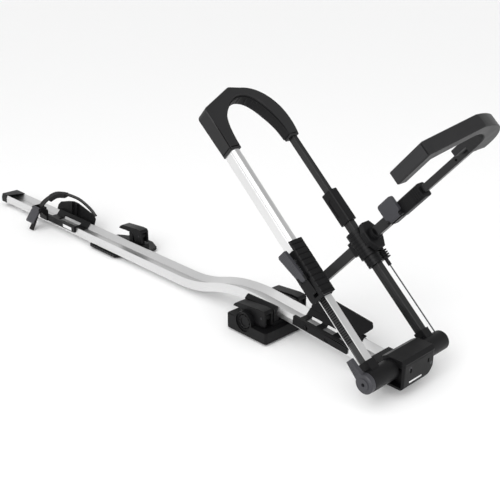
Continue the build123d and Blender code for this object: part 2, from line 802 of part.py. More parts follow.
def make_near_rail():
    """Inner rail of the near arm, with a channel on its outer side for the rack."""
    rail = block(
        (-RAIL_END, -ARM_ROOT),
        (-ARM_Y - RAIL_WIDTH / 2, -ARM_Y + RAIL_WIDTH / 2),
        (-RAIL_HEIGHT / 2, RAIL_HEIGHT / 2),
    )
    channel = block(
        (-RAIL_END, -ARM_ROOT),
        (-ARM_Y - RAIL_WIDTH / 2, rack_floor_y),
        (-RACK_WIDTH / 2, RACK_WIDTH / 2),
    )
    hollow = block(
        (-RAIL_END, -ARM_ROOT),
        (rack_floor_y + RAIL_WALL, -ARM_Y + RAIL_WIDTH / 2 - RAIL_WALL),
        (-RAIL_HEIGHT / 2 + RAIL_WALL, RAIL_HEIGHT / 2 - RAIL_WALL),
    )
    return rail - channel - hollow


def rack_points():
    """Saw teeth in plan, steep towards the hinge."""
    root_y = rack_floor_y - RACK_BASE
    crest_y = root_y - TOOTH_DEPTH
    points = [(-SOCKET_LENGTH, rack_floor_y), (-SOCKET_LENGTH, root_y)]
    for tooth in range(TEETH_COUNT):
        start = TEETH_START + tooth * TOOTH_PITCH
        points += [(-start, root_y), (-start, crest_y), (-start - TOOTH_LAND, crest_y)]
    return points + [(-RACK_END, root_y), (-RACK_END, rack_floor_y)]


def make_rack():
    """Toothed strip in the channel of the near rail."""
    return plan_prism(rack_points(), -RACK_WIDTH / 2, RACK_WIDTH / 2)


def make_far_tube():
    """Tube of the plain arm, with a shallow groove along its outer side."""
    tube = rounded_bar(
        -FAR_TUBE_END, -ARM_ROOT, ARM_Y, 0, FAR_TUBE_WIDTH, FAR_TUBE_HEIGHT, BAR_CORNER
    )
    inner_width = FAR_TUBE_WIDTH - 2 * FAR_TUBE_WALL
    inner_height = FAR_TUBE_HEIGHT - 2 * FAR_TUBE_WALL
    tube -= block(
        (-FAR_TUBE_END, -ARM_ROOT),
        (ARM_Y - inner_width / 2, ARM_Y + inner_width / 2),
        (-inner_height / 2, inner_height / 2),
    )
    groove = block(
        (-FAR_TUBE_END, -SOCKET_LENGTH),
        (ARM_Y - FAR_TUBE_WIDTH / 2, ARM_Y - FAR_TUBE_WIDTH / 2 + FAR_TUBE_GROOVE_DEPTH),
        (-FAR_TUBE_GROOVE / 2, FAR_TUBE_GROOVE / 2),
    )
    return tube - groove


def make_far_sleeve():
    """Moulded sleeve at the top of the plain arm, with a dished grip."""
    body = rounded_bar(
        -SLEEVE_END, -SLEEVE_START, ARM_Y, 0, SLEEVE_WIDTH, SLEEVE_HEIGHT, SLEEVE_ROUND
    )
    body -= rounded_bar(
        -FAR_TUBE_END, -SLEEVE_START, ARM_Y, 0, FAR_TUBE_WIDTH, FAR_TUBE_HEIGHT, BAR_CORNER
    )
    slide = 2 * SLIDE_GAP
    body -= rounded_bar(
        -SLEEVE_END, -FAR_TUBE_END, ARM_Y, 0, BAR_WIDTH + slide, BAR_HEIGHT + slide, BAR_CORNER
    )
    middle = (SLEEVE_START + SLEEVE_END) / 2
    near_face = Plane.XZ.offset(SLEEVE_WIDTH / 2 - ARM_Y)
    dish = near_face * Pos(-middle, 0) * SlotOverall(SLEEVE_DISH_LENGTH, SLEEVE_DISH_WIDTH)
    return body - extrude(dish, -SLEEVE_DISH_DEPTH)


def make_link_rod():
    """Thin guide rod beside the plain arm."""
    return bar_x(ROD_RADIUS, -ROD_END, -ROD_START, ROD_Y, ROD_N)


# Front hook and its sliding arms
def make_near_tube():
    """Outer tube of the near arm, round-shouldered on top, over the toothed rail."""
    outer = block(
        (-TUBE_END, -TUBE_START),
        (-ARM_Y - TUBE_WIDTH / 2, -ARM_Y + TUBE_WIDTH / 2),
        (-TUBE_HEIGHT / 2, TUBE_HEIGHT / 2),
    )
    long_edges = outer.edges().filter_by(Axis.X).group_by(Axis.Z)
    outer = fillet(long_edges[-1], TUBE_ROUND)
    outer = fillet(outer.edges().filter_by(Axis.X).group_by(Axis.Z)[0], TUBE_CORNER)
    outer -= block(
        (-TUBE_END, -TUBE_START),
        (-ARM_Y - RAIL_WIDTH / 2 - SLIDE_GAP, -ARM_Y + RAIL_WIDTH / 2 + SLIDE_GAP),
        (-RAIL_HEIGHT / 2 - SLIDE_GAP, RAIL_HEIGHT / 2 + SLIDE_GAP),
    )
    groove_z = TUBE_HEIGHT / 2 - TUBE_ROUND - TUBE_GROOVE
    groove = block(
        (-TUBE_END, -TUBE_START),
        (-ARM_Y - TUBE_WIDTH / 2, -ARM_Y - TUBE_WIDTH / 2 + TUBE_GROOVE / 2),
        (groove_z, groove_z + TUBE_GROOVE),
    )
    return outer - groove


def scaled(shares, root, length, half):
    """Points in plan from shares of a hook's length and half width."""
    return [(root + length * along, half * across) for along, across in shares]


def hook_points(shares):
    """Points of the front hook in the flat drawing."""
    return [(-a, y) for a, y in scaled(shares, hook_root, HOOK_LENGTH, HOOK_HALF)]


def make_front_hook():
    """Lopsided moulded loop, thinner at its far leg."""
    outer = hook_points(HOOK_OUTER_SHARES)
    crown = hook_points(HOOK_CROWN_SHARES)
    inner = hook_points(HOOK_INNER_SHARES)
    sides = [
        FilletPolyline(*outer, radius=HOOK_CORNER), Spline(*crown), Line(crown[-1], inner[0]),
        Spline(*inner), Line(inner[-1], outer[0]),
    ]
    face = make_face(joined(sides))
    body = extrude(Plane.XY.offset(-HOOK_THICK / 2) * face, HOOK_THICK)
    flat_edges = body.faces().filter_by(Axis.Z).edges()
    body = chamfer(flat_edges.filter_by(GeomType.LINE, reverse=True), HOOK_EDGE / 2)
    for side in (1, -1):
        body -= side_prism(
            [
                (-hook_root, side * HOOK_FAR_THICK / 2),
                (-hook_root - HOOK_LENGTH * HOOK_TAPER_SHARE, side * HOOK_THICK / 2),
                (-hook_root, side * HOOK_THICK / 2),
            ],
            *HOOK_TAPER_SPAN,
        )
    tube_space = block(
        (-TUBE_END, -hook_root),
        (-ARM_Y - TUBE_WIDTH / 2, -ARM_Y + TUBE_WIDTH / 2),
        (-TUBE_HEIGHT / 2, TUBE_HEIGHT / 2),
    )
    bar_space = block(
        (-bar_end, -hook_root),
        (ARM_Y - BAR_WIDTH / 2, ARM_Y + BAR_WIDTH / 2),
        (-BAR_HEIGHT / 2, BAR_HEIGHT / 2),
    )
    return body - tube_space - bar_space - hook_pad_band(HOOK_PAD_SINK, OVERRUN)


def hook_pad_band(sink, height):
    """Band that follows the inside of the front hook, from below its surface to above it."""
    line = Spline(*hook_points(HOOK_INNER_SHARES))
    ring = band_face(line, height, -sink)
    band = extrude(Plane.XY.offset(-HOOK_PAD_WIDTH / 2) * ring, HOOK_PAD_WIDTH)
    reach = (-hook_root - HOOK_LENGTH, -hook_root - HOOK_PAD_THICK)
    keep = block(reach, (0, HOOK_HALF), (-HOOK_PAD_WIDTH / 2, HOOK_PAD_WIDTH / 2))
    keep += block(
        (-hook_root - HOOK_LENGTH, -TUBE_END - OVERRUN), (-HOOK_HALF, 0),
        (-HOOK_PAD_WIDTH / 2, HOOK_PAD_WIDTH / 2),
    )
    return band & keep


def make_front_hook_pad():
    """Rubber strip let into the inside of the front hook."""
    return hook_pad_band(HOOK_PAD_SINK, HOOK_PAD_THICK - HOOK_PAD_SINK)


def make_far_bar():
    """Bar of the front hook that slides in the plain arm."""
    return rounded_bar(-bar_end, -BAR_START, ARM_Y, 0, BAR_WIDTH, BAR_HEIGHT, BAR_CORNER)


# Ratchet on the near arm
def make_ratchet_housing():
    """Moulded body round the near arm that carries the ratchet lever."""
    points = [
        (-RATCHET_END, RATCHET_LOW), (-RATCHET_START, RATCHET_LOW),
        (-RATCHET_START, RATCHET_HIGH), (-RATCHET_END, RATCHET_HIGH),
    ]
    body = side_prism(points, RATCHET_NEAR_Y, RATCHET_FAR_Y, RATCHET_CORNER)
    body -= block(
        (-RATCHET_END, -TUBE_START),
        (-ARM_Y - TUBE_WIDTH / 2, -ARM_Y + TUBE_WIDTH / 2),
        (-TUBE_HEIGHT / 2, TUBE_HEIGHT / 2),
    )
    body -= block(
        (-TUBE_START, -RATCHET_START),
        (-ARM_Y - RAIL_WIDTH / 2 - SLIDE_GAP, -ARM_Y + RAIL_WIDTH / 2 + SLIDE_GAP),
        (-RAIL_HEIGHT / 2 - SLIDE_GAP, RAIL_HEIGHT / 2 + SLIDE_GAP),
    )
    window = block(
        (-PIVOT_A - LEVER_HUB_RADIUS - SIDE_GAP, -PAWL_TIP_A + PAWL_THICK),
        (RATCHET_NEAR_Y, -ARM_Y),
        (-PAWL_WIDTH / 2 - SIDE_GAP, PAWL_WIDTH / 2 + SIDE_GAP),
    )
    body -= window
    lug_height = LEVER_HUB_RADIUS
    for side in (-1, 1):
        lug_z = side * (PAWL_WIDTH / 2 + SIDE_GAP + lug_height / 2)
        lug = block(
            (-PIVOT_A - lug_height, -PIVOT_A + lug_height),
            (PIVOT_Y - lug_height, RATCHET_NEAR_Y),
            (lug_z - lug_height / 2, lug_z + lug_height / 2),
        )
        body += lug
    return body - bar_z(PIVOT_RADIUS, RATCHET_LOW, RATCHET_HIGH, -PIVOT_A, PIVOT_Y)


pin_half = PAWL_WIDTH / 2 + SIDE_GAP + LEVER_HUB_RADIUS


def make_ratchet_pin():
    """Pin of the ratchet lever."""
    return bar_z(PIVOT_RADIUS, -pin_half, pin_half, -PIVOT_A, PIVOT_Y)


def make_ratchet_lever():
    """Finger lever with the hub and its grip ribs."""
    hub = bar_z(LEVER_HUB_RADIUS, -PAWL_WIDTH / 2, PAWL_WIDTH / 2, -PIVOT_A, PIVOT_Y)
    inner_y = RATCHET_NEAR_Y - SIDE_GAP
    plan = [
        (-PIVOT_A, PIVOT_Y - LEVER_HUB_RADIUS), (-PIVOT_A, inner_y),
        (-PIVOT_A - LEVER_THICK, inner_y - PIVOT_RADIUS),
        (-LEVER_TIP_A, LEVER_TIP_Y + LEVER_THICK),
        (-LEVER_TIP_A, LEVER_TIP_Y),
    ]
    neck = plan_prism(plan, -PAWL_WIDTH / 2, PAWL_WIDTH / 2)
    blade = plan_prism(plan, LEVER_LOW, LEVER_HIGH)
    taper = side_prism(
        [
            (-LEVER_ROOT_A, -PAWL_WIDTH), (-LEVER_TIP_A, LEVER_LOW),
            (-LEVER_TIP_A, LEVER_HIGH), (-LEVER_ROOT_A, PAWL_WIDTH / 2),
        ],
        LEVER_TIP_Y, inner_y, LEVER_ROUND,
    )
    blade &= taper
    body = hub + neck + blade
    rib_count = int((LEVER_TIP_A - SPRING_START_A) / LEVER_RIB_PITCH)
    for rib in range(rib_count):
        start = SPRING_START_A + LEVER_RIB_PITCH * (rib + 0.5)
        share = (start - PIVOT_A) / (LEVER_TIP_A - PIVOT_A)
        face_y = PIVOT_Y - LEVER_HUB_RADIUS + (LEVER_TIP_Y - PIVOT_Y + LEVER_HUB_RADIUS) * share
        body -= block(
            (-start - LEVER_RIB, -start),
            (face_y - LEVER_RIB, face_y + LEVER_RIB / 2),
            (LEVER_LOW, LEVER_HIGH),
        )
    return body - bar_z(PIVOT_RADIUS + RUN_FIT, LEVER_LOW, LEVER_HIGH, -PIVOT_A, PIVOT_Y)


def make_pawl():
    """Steel pawl fixed in the lever's hub, its nose just clear of the rack's crests."""
    root_y = rack_floor_y - RACK_BASE - TOOTH_DEPTH - PAWL_CLEAR
    crest_y = root_y - TOOTH_DEPTH
    tooth = TEETH_START + TOOTH_PITCH * round((PAWL_TIP_A - TEETH_START) / TOOTH_PITCH)
    nose_a = tooth + TOOTH_PITCH - PAWL_CLEAR
    heel = tooth + TOOTH_LAND + PAWL_HEEL
    hub_y = PIVOT_Y + LEVER_HUB_RADIUS * PAWL_HUB_SHARE
    points = [
        (-nose_a, root_y), (-heel, crest_y), (-heel, crest_y - PAWL_THICK),
        (-PIVOT_A + LEVER_HUB_RADIUS, PIVOT_Y), (-PIVOT_A + LEVER_HUB_RADIUS / 2, hub_y),
        (-nose_a, crest_y),
    ]
    body = plan_prism(points, -PAWL_WIDTH / 2, PAWL_WIDTH / 2)
    return body - bar_z(LEVER_HUB_RADIUS, -PAWL_WIDTH, PAWL_WIDTH, -PIVOT_A, PIVOT_Y)


def make_ratchet_spring():
    """Flat spring on the housing, under the lever."""
    face = RATCHET_NEAR_Y
    points = [
        (-SPRING_START_A, face), (-SPRING_END_A, face),
        (-SPRING_START_A, face - 2 * SPRING_LEAF),
        (-SPRING_START_A + SPRING_LEAF, face - 2 * SPRING_LEAF),
    ]
    return plan_prism(points, -SPRING_WIDTH / 2, SPRING_WIDTH / 2)


def make_ratchet_cover():
    """Ribbed cover over the top of the ratchet."""
    top = RATCHET_HIGH + RIB_COVER_THICK
    body = block(
        (-RIB_COVER_END, -RIB_COVER_START),
        (RATCHET_NEAR_Y - RIB_COVER_LIP, RATCHET_FAR_Y + RIB_COVER_LIP),
        (TUBE_HEIGHT / 2, top),
    )
    body += block(
        (-RIB_COVER_END, -RIB_COVER_START),
        (RATCHET_FAR_Y, RATCHET_FAR_Y + RIB_COVER_LIP),
        (RATCHET_HIGH - RIB_COVER_DROP, top),
    )
    body = fillet(body.edges().filter_by(Axis.X).group_by(Axis.Z)[-1], RIB_COVER_LIP)
    points = [
        (-RATCHET_END, RATCHET_LOW), (-RATCHET_START, RATCHET_LOW),
        (-RATCHET_START, RATCHET_HIGH), (-RATCHET_END, RATCHET_HIGH),
    ]
    body -= side_prism(points, RATCHET_NEAR_Y, RATCHET_FAR_Y, RATCHET_CORNER)
    count = int((RIB_COVER_END - RIB_COVER_START) / RIB_PITCH)
    for groove in range(count):
        start = RIB_COVER_START + RIB_PITCH * (groove + 0.5)
        body -= block(
            (-start - RIB_GROOVE, -start),
            (RATCHET_NEAR_Y - RIB_COVER_LIP, RATCHET_FAR_Y + RIB_COVER_LIP),
            (top - RIB_GROOVE, top),
        )
    return body


# Hinge lock
def make_knob():
    """Lock knob on the axle end, with a ribbed finger lever."""
    disc = bar_y(KNOB_RADIUS, knob_outer_y, knob_inner_y)
    disc = chamfer(disc.faces().sort_by(Axis.Y)[0].edges(), KNOB_BEVEL)
    hub = bar_y(KNOB_HUB_RADIUS, knob_outer_y - KNOB_STEP, knob_outer_y)
    outer = knob_outer_y
    inner = knob_outer_y + KNOB_LEVER_THICK
    lever = side_prism(
        [
            (0, -KNOB_LEVER_ROOT / 2), (0, KNOB_LEVER_ROOT / 2),
            (-KNOB_LEVER_LENGTH, KNOB_LEVER_TIP / 2), (-KNOB_LEVER_LENGTH, -KNOB_LEVER_TIP / 2),
        ],
        outer, inner,
    )
    body = disc + hub + lever
    count = int((KNOB_LEVER_LENGTH - KNOB_RADIUS) / KNOB_RIB_PITCH)
    for groove in range(count):
        start = KNOB_RADIUS + KNOB_RIB_PITCH * (groove + 0.5)
        body -= block(
            (-start - KNOB_RIB, -start),
            (outer, outer + KNOB_STEP / 2),
            (-KNOB_LEVER_TIP / 2 + KNOB_STEP, KNOB_LEVER_TIP / 2 - KNOB_STEP),
        )
    body -= bar_y(AXLE_RADIUS + RUN_FIT, knob_outer_y + HOUSING_WALL - SIDE_GAP, knob_inner_y)
    return body - bar_y(KNOB_HOLE_RADIUS, knob_outer_y - KNOB_STEP, knob_inner_y)


# Collar that carries the second arm across the plain arm
def make_collar():
    """Ringed collar that slides on the plain arm, with the seat of the hexagon plate."""
    body = bar_x(COLLAR_RADIUS, -COLLAR_END, -COLLAR_STEP_A, ARM_Y)
    body += bar_x(COLLAR_LOW_RADIUS, -COLLAR_STEP_A, -COLLAR_START, ARM_Y)
    count = int((COLLAR_END - COLLAR_START) / COLLAR_RING_PITCH)
    for ring in range(count):
        start = COLLAR_START + COLLAR_RING_PITCH * (ring + 0.5)
        radius = COLLAR_RADIUS if start > COLLAR_STEP_A else COLLAR_LOW_RADIUS
        band = bar_x(radius + OVERRUN, -start - COLLAR_GROOVE, -start, ARM_Y)
        body -= band - bar_x(radius - COLLAR_GROOVE / 2, -start - COLLAR_GROOVE, -start, ARM_Y)
    neck = block(
        (-CROSS_A - NECK_LENGTH / 2, -CROSS_A + NECK_LENGTH / 2),
        (ARM_Y - NECK_WIDTH / 2, ARM_Y + NECK_WIDTH / 2),
        (-FLANGE_INNER, FLANGE_INNER),
    )
    lug = block(
        (-COLLAR_STEP_A - LUG_LENGTH, -COLLAR_STEP_A),
        (ARM_Y, ROD_Y),
        (ROD_N - LUG_RADIUS, ROD_N + LUG_RADIUS),
    )
    lug += bar_x(LUG_RADIUS, -COLLAR_STEP_A - LUG_LENGTH, -COLLAR_STEP_A, ROD_Y, ROD_N)
    body = body + neck + lug
    slide = 2 * SLIDE_GAP
    body -= rounded_bar(
        -COLLAR_END, -COLLAR_START, ARM_Y, 0,
        FAR_TUBE_WIDTH + slide, FAR_TUBE_HEIGHT + slide, BAR_CORNER,
    )
    return body - bar_x(ROD_RADIUS + SLIDE_GAP, -COLLAR_END, -COLLAR_START, ROD_Y, ROD_N)


def make_plate():
    """Hexagon plate on top of the collar, around the second arm."""
    a0, a1 = CROSS_A - FLANGE_HALF_LENGTH, CROSS_A + FLANGE_HALF_LENGTH
    y0, y1 = ARM_Y - FLANGE_HALF_WIDTH, ARM_Y + FLANGE_HALF_WIDTH
    cut_a, cut_y = FLANGE_CUT_LENGTH, FLANGE_CUT_WIDTH
    points = [
        (-a0 - cut_a, y0), (-a0, y0 + cut_y), (-a0, y1 - cut_y), (-a0 - cut_a, y1),
        (-a1 + cut_a, y1), (-a1, y1 - cut_y), (-a1, y0 + cut_y), (-a1 + cut_a, y0),
    ]
    top = FLANGE_INNER + FLANGE_THICK
    plate = plan_prism(points, FLANGE_INNER, top)
    plate = chamfer(plate.faces().filter_by(Axis.Z).edges(), FAR_TUBE_WALL)
    return plate - second_section(FLANGE_INNER, top)


def second_section(z0, z1):
    """Outside of the second arm between two heights."""
    return rounded_post(z0, z1, -CROSS_A, ARM_Y, SECOND_DEPTH, SECOND_WIDTH, BAR_CORNER)


def second_hollow(z0, z1):
    """Inside of the second arm between two heights."""
    depth = SECOND_DEPTH - 2 * SECOND_WALL
    width = SECOND_WIDTH - 2 * SECOND_WALL
    return rounded_post(z0, z1, -CROSS_A, ARM_Y, depth, width, BAR_CORNER)


def make_second_tube():
    """Upper part of the second arm."""
    return second_section(FLANGE_INNER, SECOND_END) - second_hollow(FLANGE_INNER, SECOND_END)


def make_second_tail():
    """Lower part of the second arm."""
    return second_section(-TAIL_END, -FLANGE_INNER) - second_hollow(-TAIL_END, -FLANGE_INNER)


def make_rod_boot():
    """Ribbed rubber boot on the guide rod, against the collar's lug."""
    start = COLLAR_STEP_A - BOOT_RIBS * BOOT_RIB_PITCH
    body = bar_x(BOOT_RADIUS, -COLLAR_STEP_A, -start, ROD_Y, ROD_N)
    for rib in range(BOOT_RIBS):
        low = start + BOOT_RIB_PITCH * (rib + 0.5)
        ring = bar_x(BOOT_RADIUS + OVERRUN, -low - BOOT_GROOVE, -low, ROD_Y, ROD_N)
        ring -= bar_x(BOOT_RADIUS - BOOT_GROOVE, -low - BOOT_GROOVE, -low, ROD_Y, ROD_N)
        body -= ring
    body -= bar_x(ROD_RADIUS + SLIDE_GAP, -COLLAR_STEP_A, -start, ROD_Y, ROD_N)
    clear = COLLAR_LOW_RADIUS + SLIDE_GAP
    return body - bar_x(clear, -COLLAR_STEP_A, -start, ARM_Y)


def make_rod_fitting():
    """Small metal end on the boot."""
    start = COLLAR_STEP_A - BOOT_RIBS * BOOT_RIB_PITCH
    body = bar_x(FITTING_RADIUS, -start, -start + FITTING_LENGTH, ROD_Y, ROD_N)
    return body - bar_x(ROD_RADIUS + SLIDE_GAP, -start, -start + FITTING_LENGTH, ROD_Y, ROD_N)


def make_second_sleeve():
    """Clamp and ringed sleeve on top of the second arm."""
    clamp = rounded_post(
        CLAMP_START, CLAMP_END, -CROSS_A, ARM_Y, CLAMP_DEPTH, CLAMP_WIDTH, BAR_CORNER
    )
    grip = rounded_post(
        CLAMP_END - CLAMP_WIDTH / 2, SECOND_SLEEVE_END, -CROSS_A, ARM_Y,
        SECOND_SLEEVE_DEPTH, SECOND_SLEEVE_WIDTH, SECOND_SLEEVE_ROUND,
    )
    body = clamp + grip
    for ring in range(SLEEVE_RINGS):
        low = SECOND_SLEEVE_END - SLEEVE_RING_PITCH * (ring + 1)
        band = rounded_post(
            low, low + SLEEVE_RING, -CROSS_A, ARM_Y,
            SECOND_SLEEVE_DEPTH, SECOND_SLEEVE_WIDTH, SECOND_SLEEVE_ROUND,
        )
        core = rounded_post(
            low, low + SLEEVE_RING, -CROSS_A, ARM_Y,
            SECOND_SLEEVE_DEPTH - SLEEVE_RING, SECOND_SLEEVE_WIDTH - SLEEVE_RING,
            SECOND_SLEEVE_ROUND,
        )
        body -= band - core
    body -= second_section(CLAMP_START, SECOND_END)
    slide = 2 * SLIDE_GAP
    body -= rounded_post(
        SECOND_END, SECOND_SLEEVE_END, -CROSS_A, ARM_Y,
        SECOND_BAR_DEPTH + slide, SECOND_BAR_WIDTH + slide, BAR_CORNER,
    )
    pin_y = flip_outer_y + FLIP_THICK / 2
    for z in (CLAMP_START, CLAMP_END - FLIP_CORNER):
        body += block(
            (-FLIP_PIVOT_A - FLIP_THICK / 2, -FLIP_PIVOT_A + FLIP_THICK / 2),
            (pin_y, ARM_Y - CLAMP_WIDTH / 2),
            (z, z + FLIP_CORNER),
        )
        body += bar_z(FLIP_THICK / 2, z, z + FLIP_CORNER, -FLIP_PIVOT_A, pin_y)
    return body - bar_z(FLIP_PIN_RADIUS, CLAMP_START, CLAMP_END, -FLIP_PIVOT_A, pin_y)


flip_inner_y = ARM_Y - SECOND_SLEEVE_WIDTH / 2 - SIDE_GAP
flip_outer_y = flip_inner_y - FLIP_THICK
flip_low = CLAMP_START + FLIP_CORNER + SIDE_GAP
flip_high = CLAMP_END - FLIP_CORNER - SIDE_GAP


def make_flip_pin():
    """Pin of the flip lever on the second arm."""
    pin_y = flip_outer_y + FLIP_THICK / 2
    return bar_z(FLIP_PIN_RADIUS, CLAMP_START, CLAMP_END, -FLIP_PIVOT_A, pin_y)


def make_flip_lever():
    """Flat lever that locks the second arm's length."""
    pin_y = flip_outer_y + FLIP_THICK / 2
    grip_start = FLIP_PIVOT_A + FLIP_THICK / 2 + SIDE_GAP
    body = side_prism(
        [
            (-grip_start, CLAMP_START), (-FLIP_HIGH_A, CLAMP_START),
            (-FLIP_HIGH_A, CLAMP_END), (-grip_start, CLAMP_END),
        ],
        flip_outer_y, flip_inner_y, FLIP_CORNER,
    )
    body += block(
        (-grip_start - FLIP_CORNER, -FLIP_PIVOT_A), (flip_outer_y, flip_inner_y), (flip_low, flip_high)
    )
    body += bar_z(FLIP_THICK / 2, flip_low, flip_high, -FLIP_PIVOT_A, pin_y)
    return body - bar_z(FLIP_PIN_RADIUS + RUN_FIT, flip_low, flip_high, -FLIP_PIVOT_A, pin_y)


# Second hook, drawn in the plane across the second arm
def second_points(shares):
    """Points of the second hook as Y and Z."""
    points = scaled(shares, SECOND_HOOK_ROOT, SECOND_HOOK_LENGTH, SECOND_HOOK_HALF)
    return [(y, z) for z, y in points]


def make_second_hook():
    """Moulded hook with a free leg and a lobe on the inner side of the second arm's bar."""
    outer = second_points(SECOND_OUTER_SHARES)
    crown = second_points(SECOND_CROWN_SHARES)
    inner = second_points(SECOND_INNER_SHARES)
    bar_y0 = ARM_Y - SECOND_BAR_WIDTH / 2
    high, low = [SECOND_HOOK_ROOT + SECOND_HOOK_LENGTH * share for share in SECOND_LOBE_SHARES]
    foot = [crown[-1], (bar_y0, high), (bar_y0, low), inner[0]]
    back = second_points(SECOND_RETURN_SHARES)
    sides = [
        Polyline(*outer), Spline(*crown), Polyline(*foot), Spline(*inner),
        Polyline(*back), Line(back[-1], outer[0]),
    ]
    start = -CROSS_A - SECOND_HOOK_THICK / 2
    body = extrude(Plane.YZ.offset(start) * make_face(joined(sides)), SECOND_HOOK_THICK)
    body = chamfer(body.faces().filter_by(Axis.X).edges(), SECOND_HOOK_EDGE / 2)
    body -= block((-CROSS_A, start + SECOND_HOOK_THICK), (0, bar_y0), (SECOND_HOOK_ROOT, high))
    top = second_bar_end
    space = rounded_post(
        SECOND_HOOK_ROOT, top, -CROSS_A, ARM_Y, SECOND_BAR_DEPTH, SECOND_BAR_WIDTH, BAR_CORNER
    )
    return body - space


def make_second_bar():
    """Bar of the second hook that slides in the second arm."""
    return rounded_post(
        SECOND_BAR_START, second_bar_end, -CROSS_A, ARM_Y,
        SECOND_BAR_DEPTH, SECOND_BAR_WIDTH, BAR_CORNER,
    )


def make_tip_pad():
    """Soft pad on the outer side of the second hook's free leg."""
    low, high = second_points(SECOND_OUTER_SHARES)[:2]
    length = high[1] - low[1]
    margin = TIP_PAD_MARGIN
    slope = (high[0] - low[0]) / length
    points = [
        (low[0] + slope * margin, low[1] + margin),
        (high[0] - slope * margin, high[1] - margin),
        (high[0] - slope * margin - TIP_PAD_THICK, high[1] - margin),
        (low[0] + slope * margin - TIP_PAD_THICK, low[1] + margin),
    ]
    half = SECOND_HOOK_BAND / 2
    return end_prism(points, -CROSS_A - half, -CROSS_A + half)


# Front wheel cradle
def saddle_section(drop, rise, half_span):
    """Band that follows the top of the tray, between two heights above it."""
    rim = half_width - TRAY_SHOULDER - TRAY_RIM
    top = [
        (-half_span, TRAY_HEIGHT), (-rim, TRAY_HEIGHT), (-GUTTER_WIDTH / 2, GUTTER_FLOOR),
        (GUTTER_WIDTH / 2, GUTTER_FLOOR), (rim, TRAY_HEIGHT), (half_span, TRAY_HEIGHT),
    ]
    low = [(y, z + drop) for y, z in top]
    high = [(y, z + rise) for y, z in reversed(top)]
    return low + high


def make_cradle():
    """Moulded saddle on the nose of the tray, with crossbars between three windows."""
    span = half_width + CRADLE_WALL
    section = saddle_section(0, BRIDGE_RISE, span)
    body = end_prism(section, CRADLE_START, CRADLE_END)
    length = CRADLE_END - CRADLE_START
    pitch = (length - BRIDGE_WIDTH) / CRADLE_WINDOWS
    for window in range(CRADLE_WINDOWS):
        start = CRADLE_START + BRIDGE_WIDTH + window * pitch
        body -= block(
            (start, start + pitch - BRIDGE_WIDTH),
            (-GUTTER_WIDTH / 2 - CRADLE_WALL, GUTTER_WIDTH / 2 + CRADLE_WALL),
            (0, TRAY_HEIGHT + BRIDGE_RISE),
        )
    for side in (-1, 1):
        cheek = side_prism(
            [
                (CRADLE_START, CRADLE_WALL), (CRADLE_END, CRADLE_WALL),
                (CRADLE_END, CHEEK_FRONT_HEIGHT), (CRADLE_START, CHEEK_REAR_HEIGHT),
            ],
            side * half_width if side > 0 else -span,
            span if side > 0 else -half_width,
        )
        body += cheek
    for share in CHEEK_SLOT_SHARES:
        start = CRADLE_START + length * share
        slot = block(
            (start, start + CHEEK_SLOT_LENGTH),
            (-span, -span + CHEEK_SLOT_DEPTH),
            (CHEEK_SLOT_HEIGHT, 2 * CHEEK_SLOT_HEIGHT),
        )
        body -= slot
    return body


def make_wing():
    """Tall side wing of the cradle, leaning away from the wheel."""
    rim = half_width - TRAY_SHOULDER - TRAY_RIM
    low = TRAY_HEIGHT + BRIDGE_RISE
    section = [
        (rim, low), (WING_FOOT_Y, WING_FOOT_Y + CRADLE_WALL), (WING_TOP_Y - WING_WALL, WING_TOP),
        (WING_TOP_Y, WING_TOP), (WING_FOOT_Y + 2 * WING_WALL, WING_FOOT_Y),
        (half_width + CRADLE_WALL, low),
    ]
    wing = end_prism(section, CRADLE_START, CRADLE_END + WING_CORNER)
    side_view = [
        (CRADLE_START, low), (CRADLE_START, WING_REAR_TOP),
        (CRADLE_START + WING_RAMP, WING_TOP), (CRADLE_END, WING_TOP - WING_WALL),
        (CRADLE_END + WING_CORNER / 2, WING_TOP - WING_CORNER),
        (CRADLE_END - WING_CORNER / 2, low),
    ]
    return wing & side_prism(side_view, 0, WING_TOP_Y, WING_ROUND)


# Brackets on the two roof bars
def cam_points(tip_x, shares):
    """Points of a cam lever's side view from shares of its length and rise."""
    return [(tip_x + CAM_LEVER_LENGTH * x, CAM_TIP_Z + CAM_RISE * z) for x, z in shares]


def cam_pivot_x(tip_x):
    """Pivot of a cam lever whose tip is at tip_x."""
    return tip_x + CAM_LEVER_LENGTH * CAM_PIVOT_SHARE


def make_cam_lever(tip_x, y):
    """Hollow-backed lever that draws the bracket's bolt up against the roof bar."""
    points = cam_points(tip_x, CAM_TOP_SHARES) + cam_points(tip_x, CAM_UNDER_SHARES)
    half = CAM_WIDTH / 2
    body = side_prism(points, y - half, y + half)
    inner = half - CAM_CHEEK
    hollow = [(x, z - CAM_ROOF) for x, z in cam_points(tip_x, CAM_TOP_SHARES[3:])]
    low = CAM_SHELF_Z
    hollow += [(tip_x + CAM_LEVER_LENGTH + OVERRUN, low), (hollow[0][0], low)]
    body -= side_prism(hollow, y - inner, y + inner)
    pin_x = cam_pivot_x(tip_x)
    return body - bar_y(CAM_PIN_RADIUS + RUN_FIT, y - half, y + half, pin_x, CAM_PIVOT_Z)


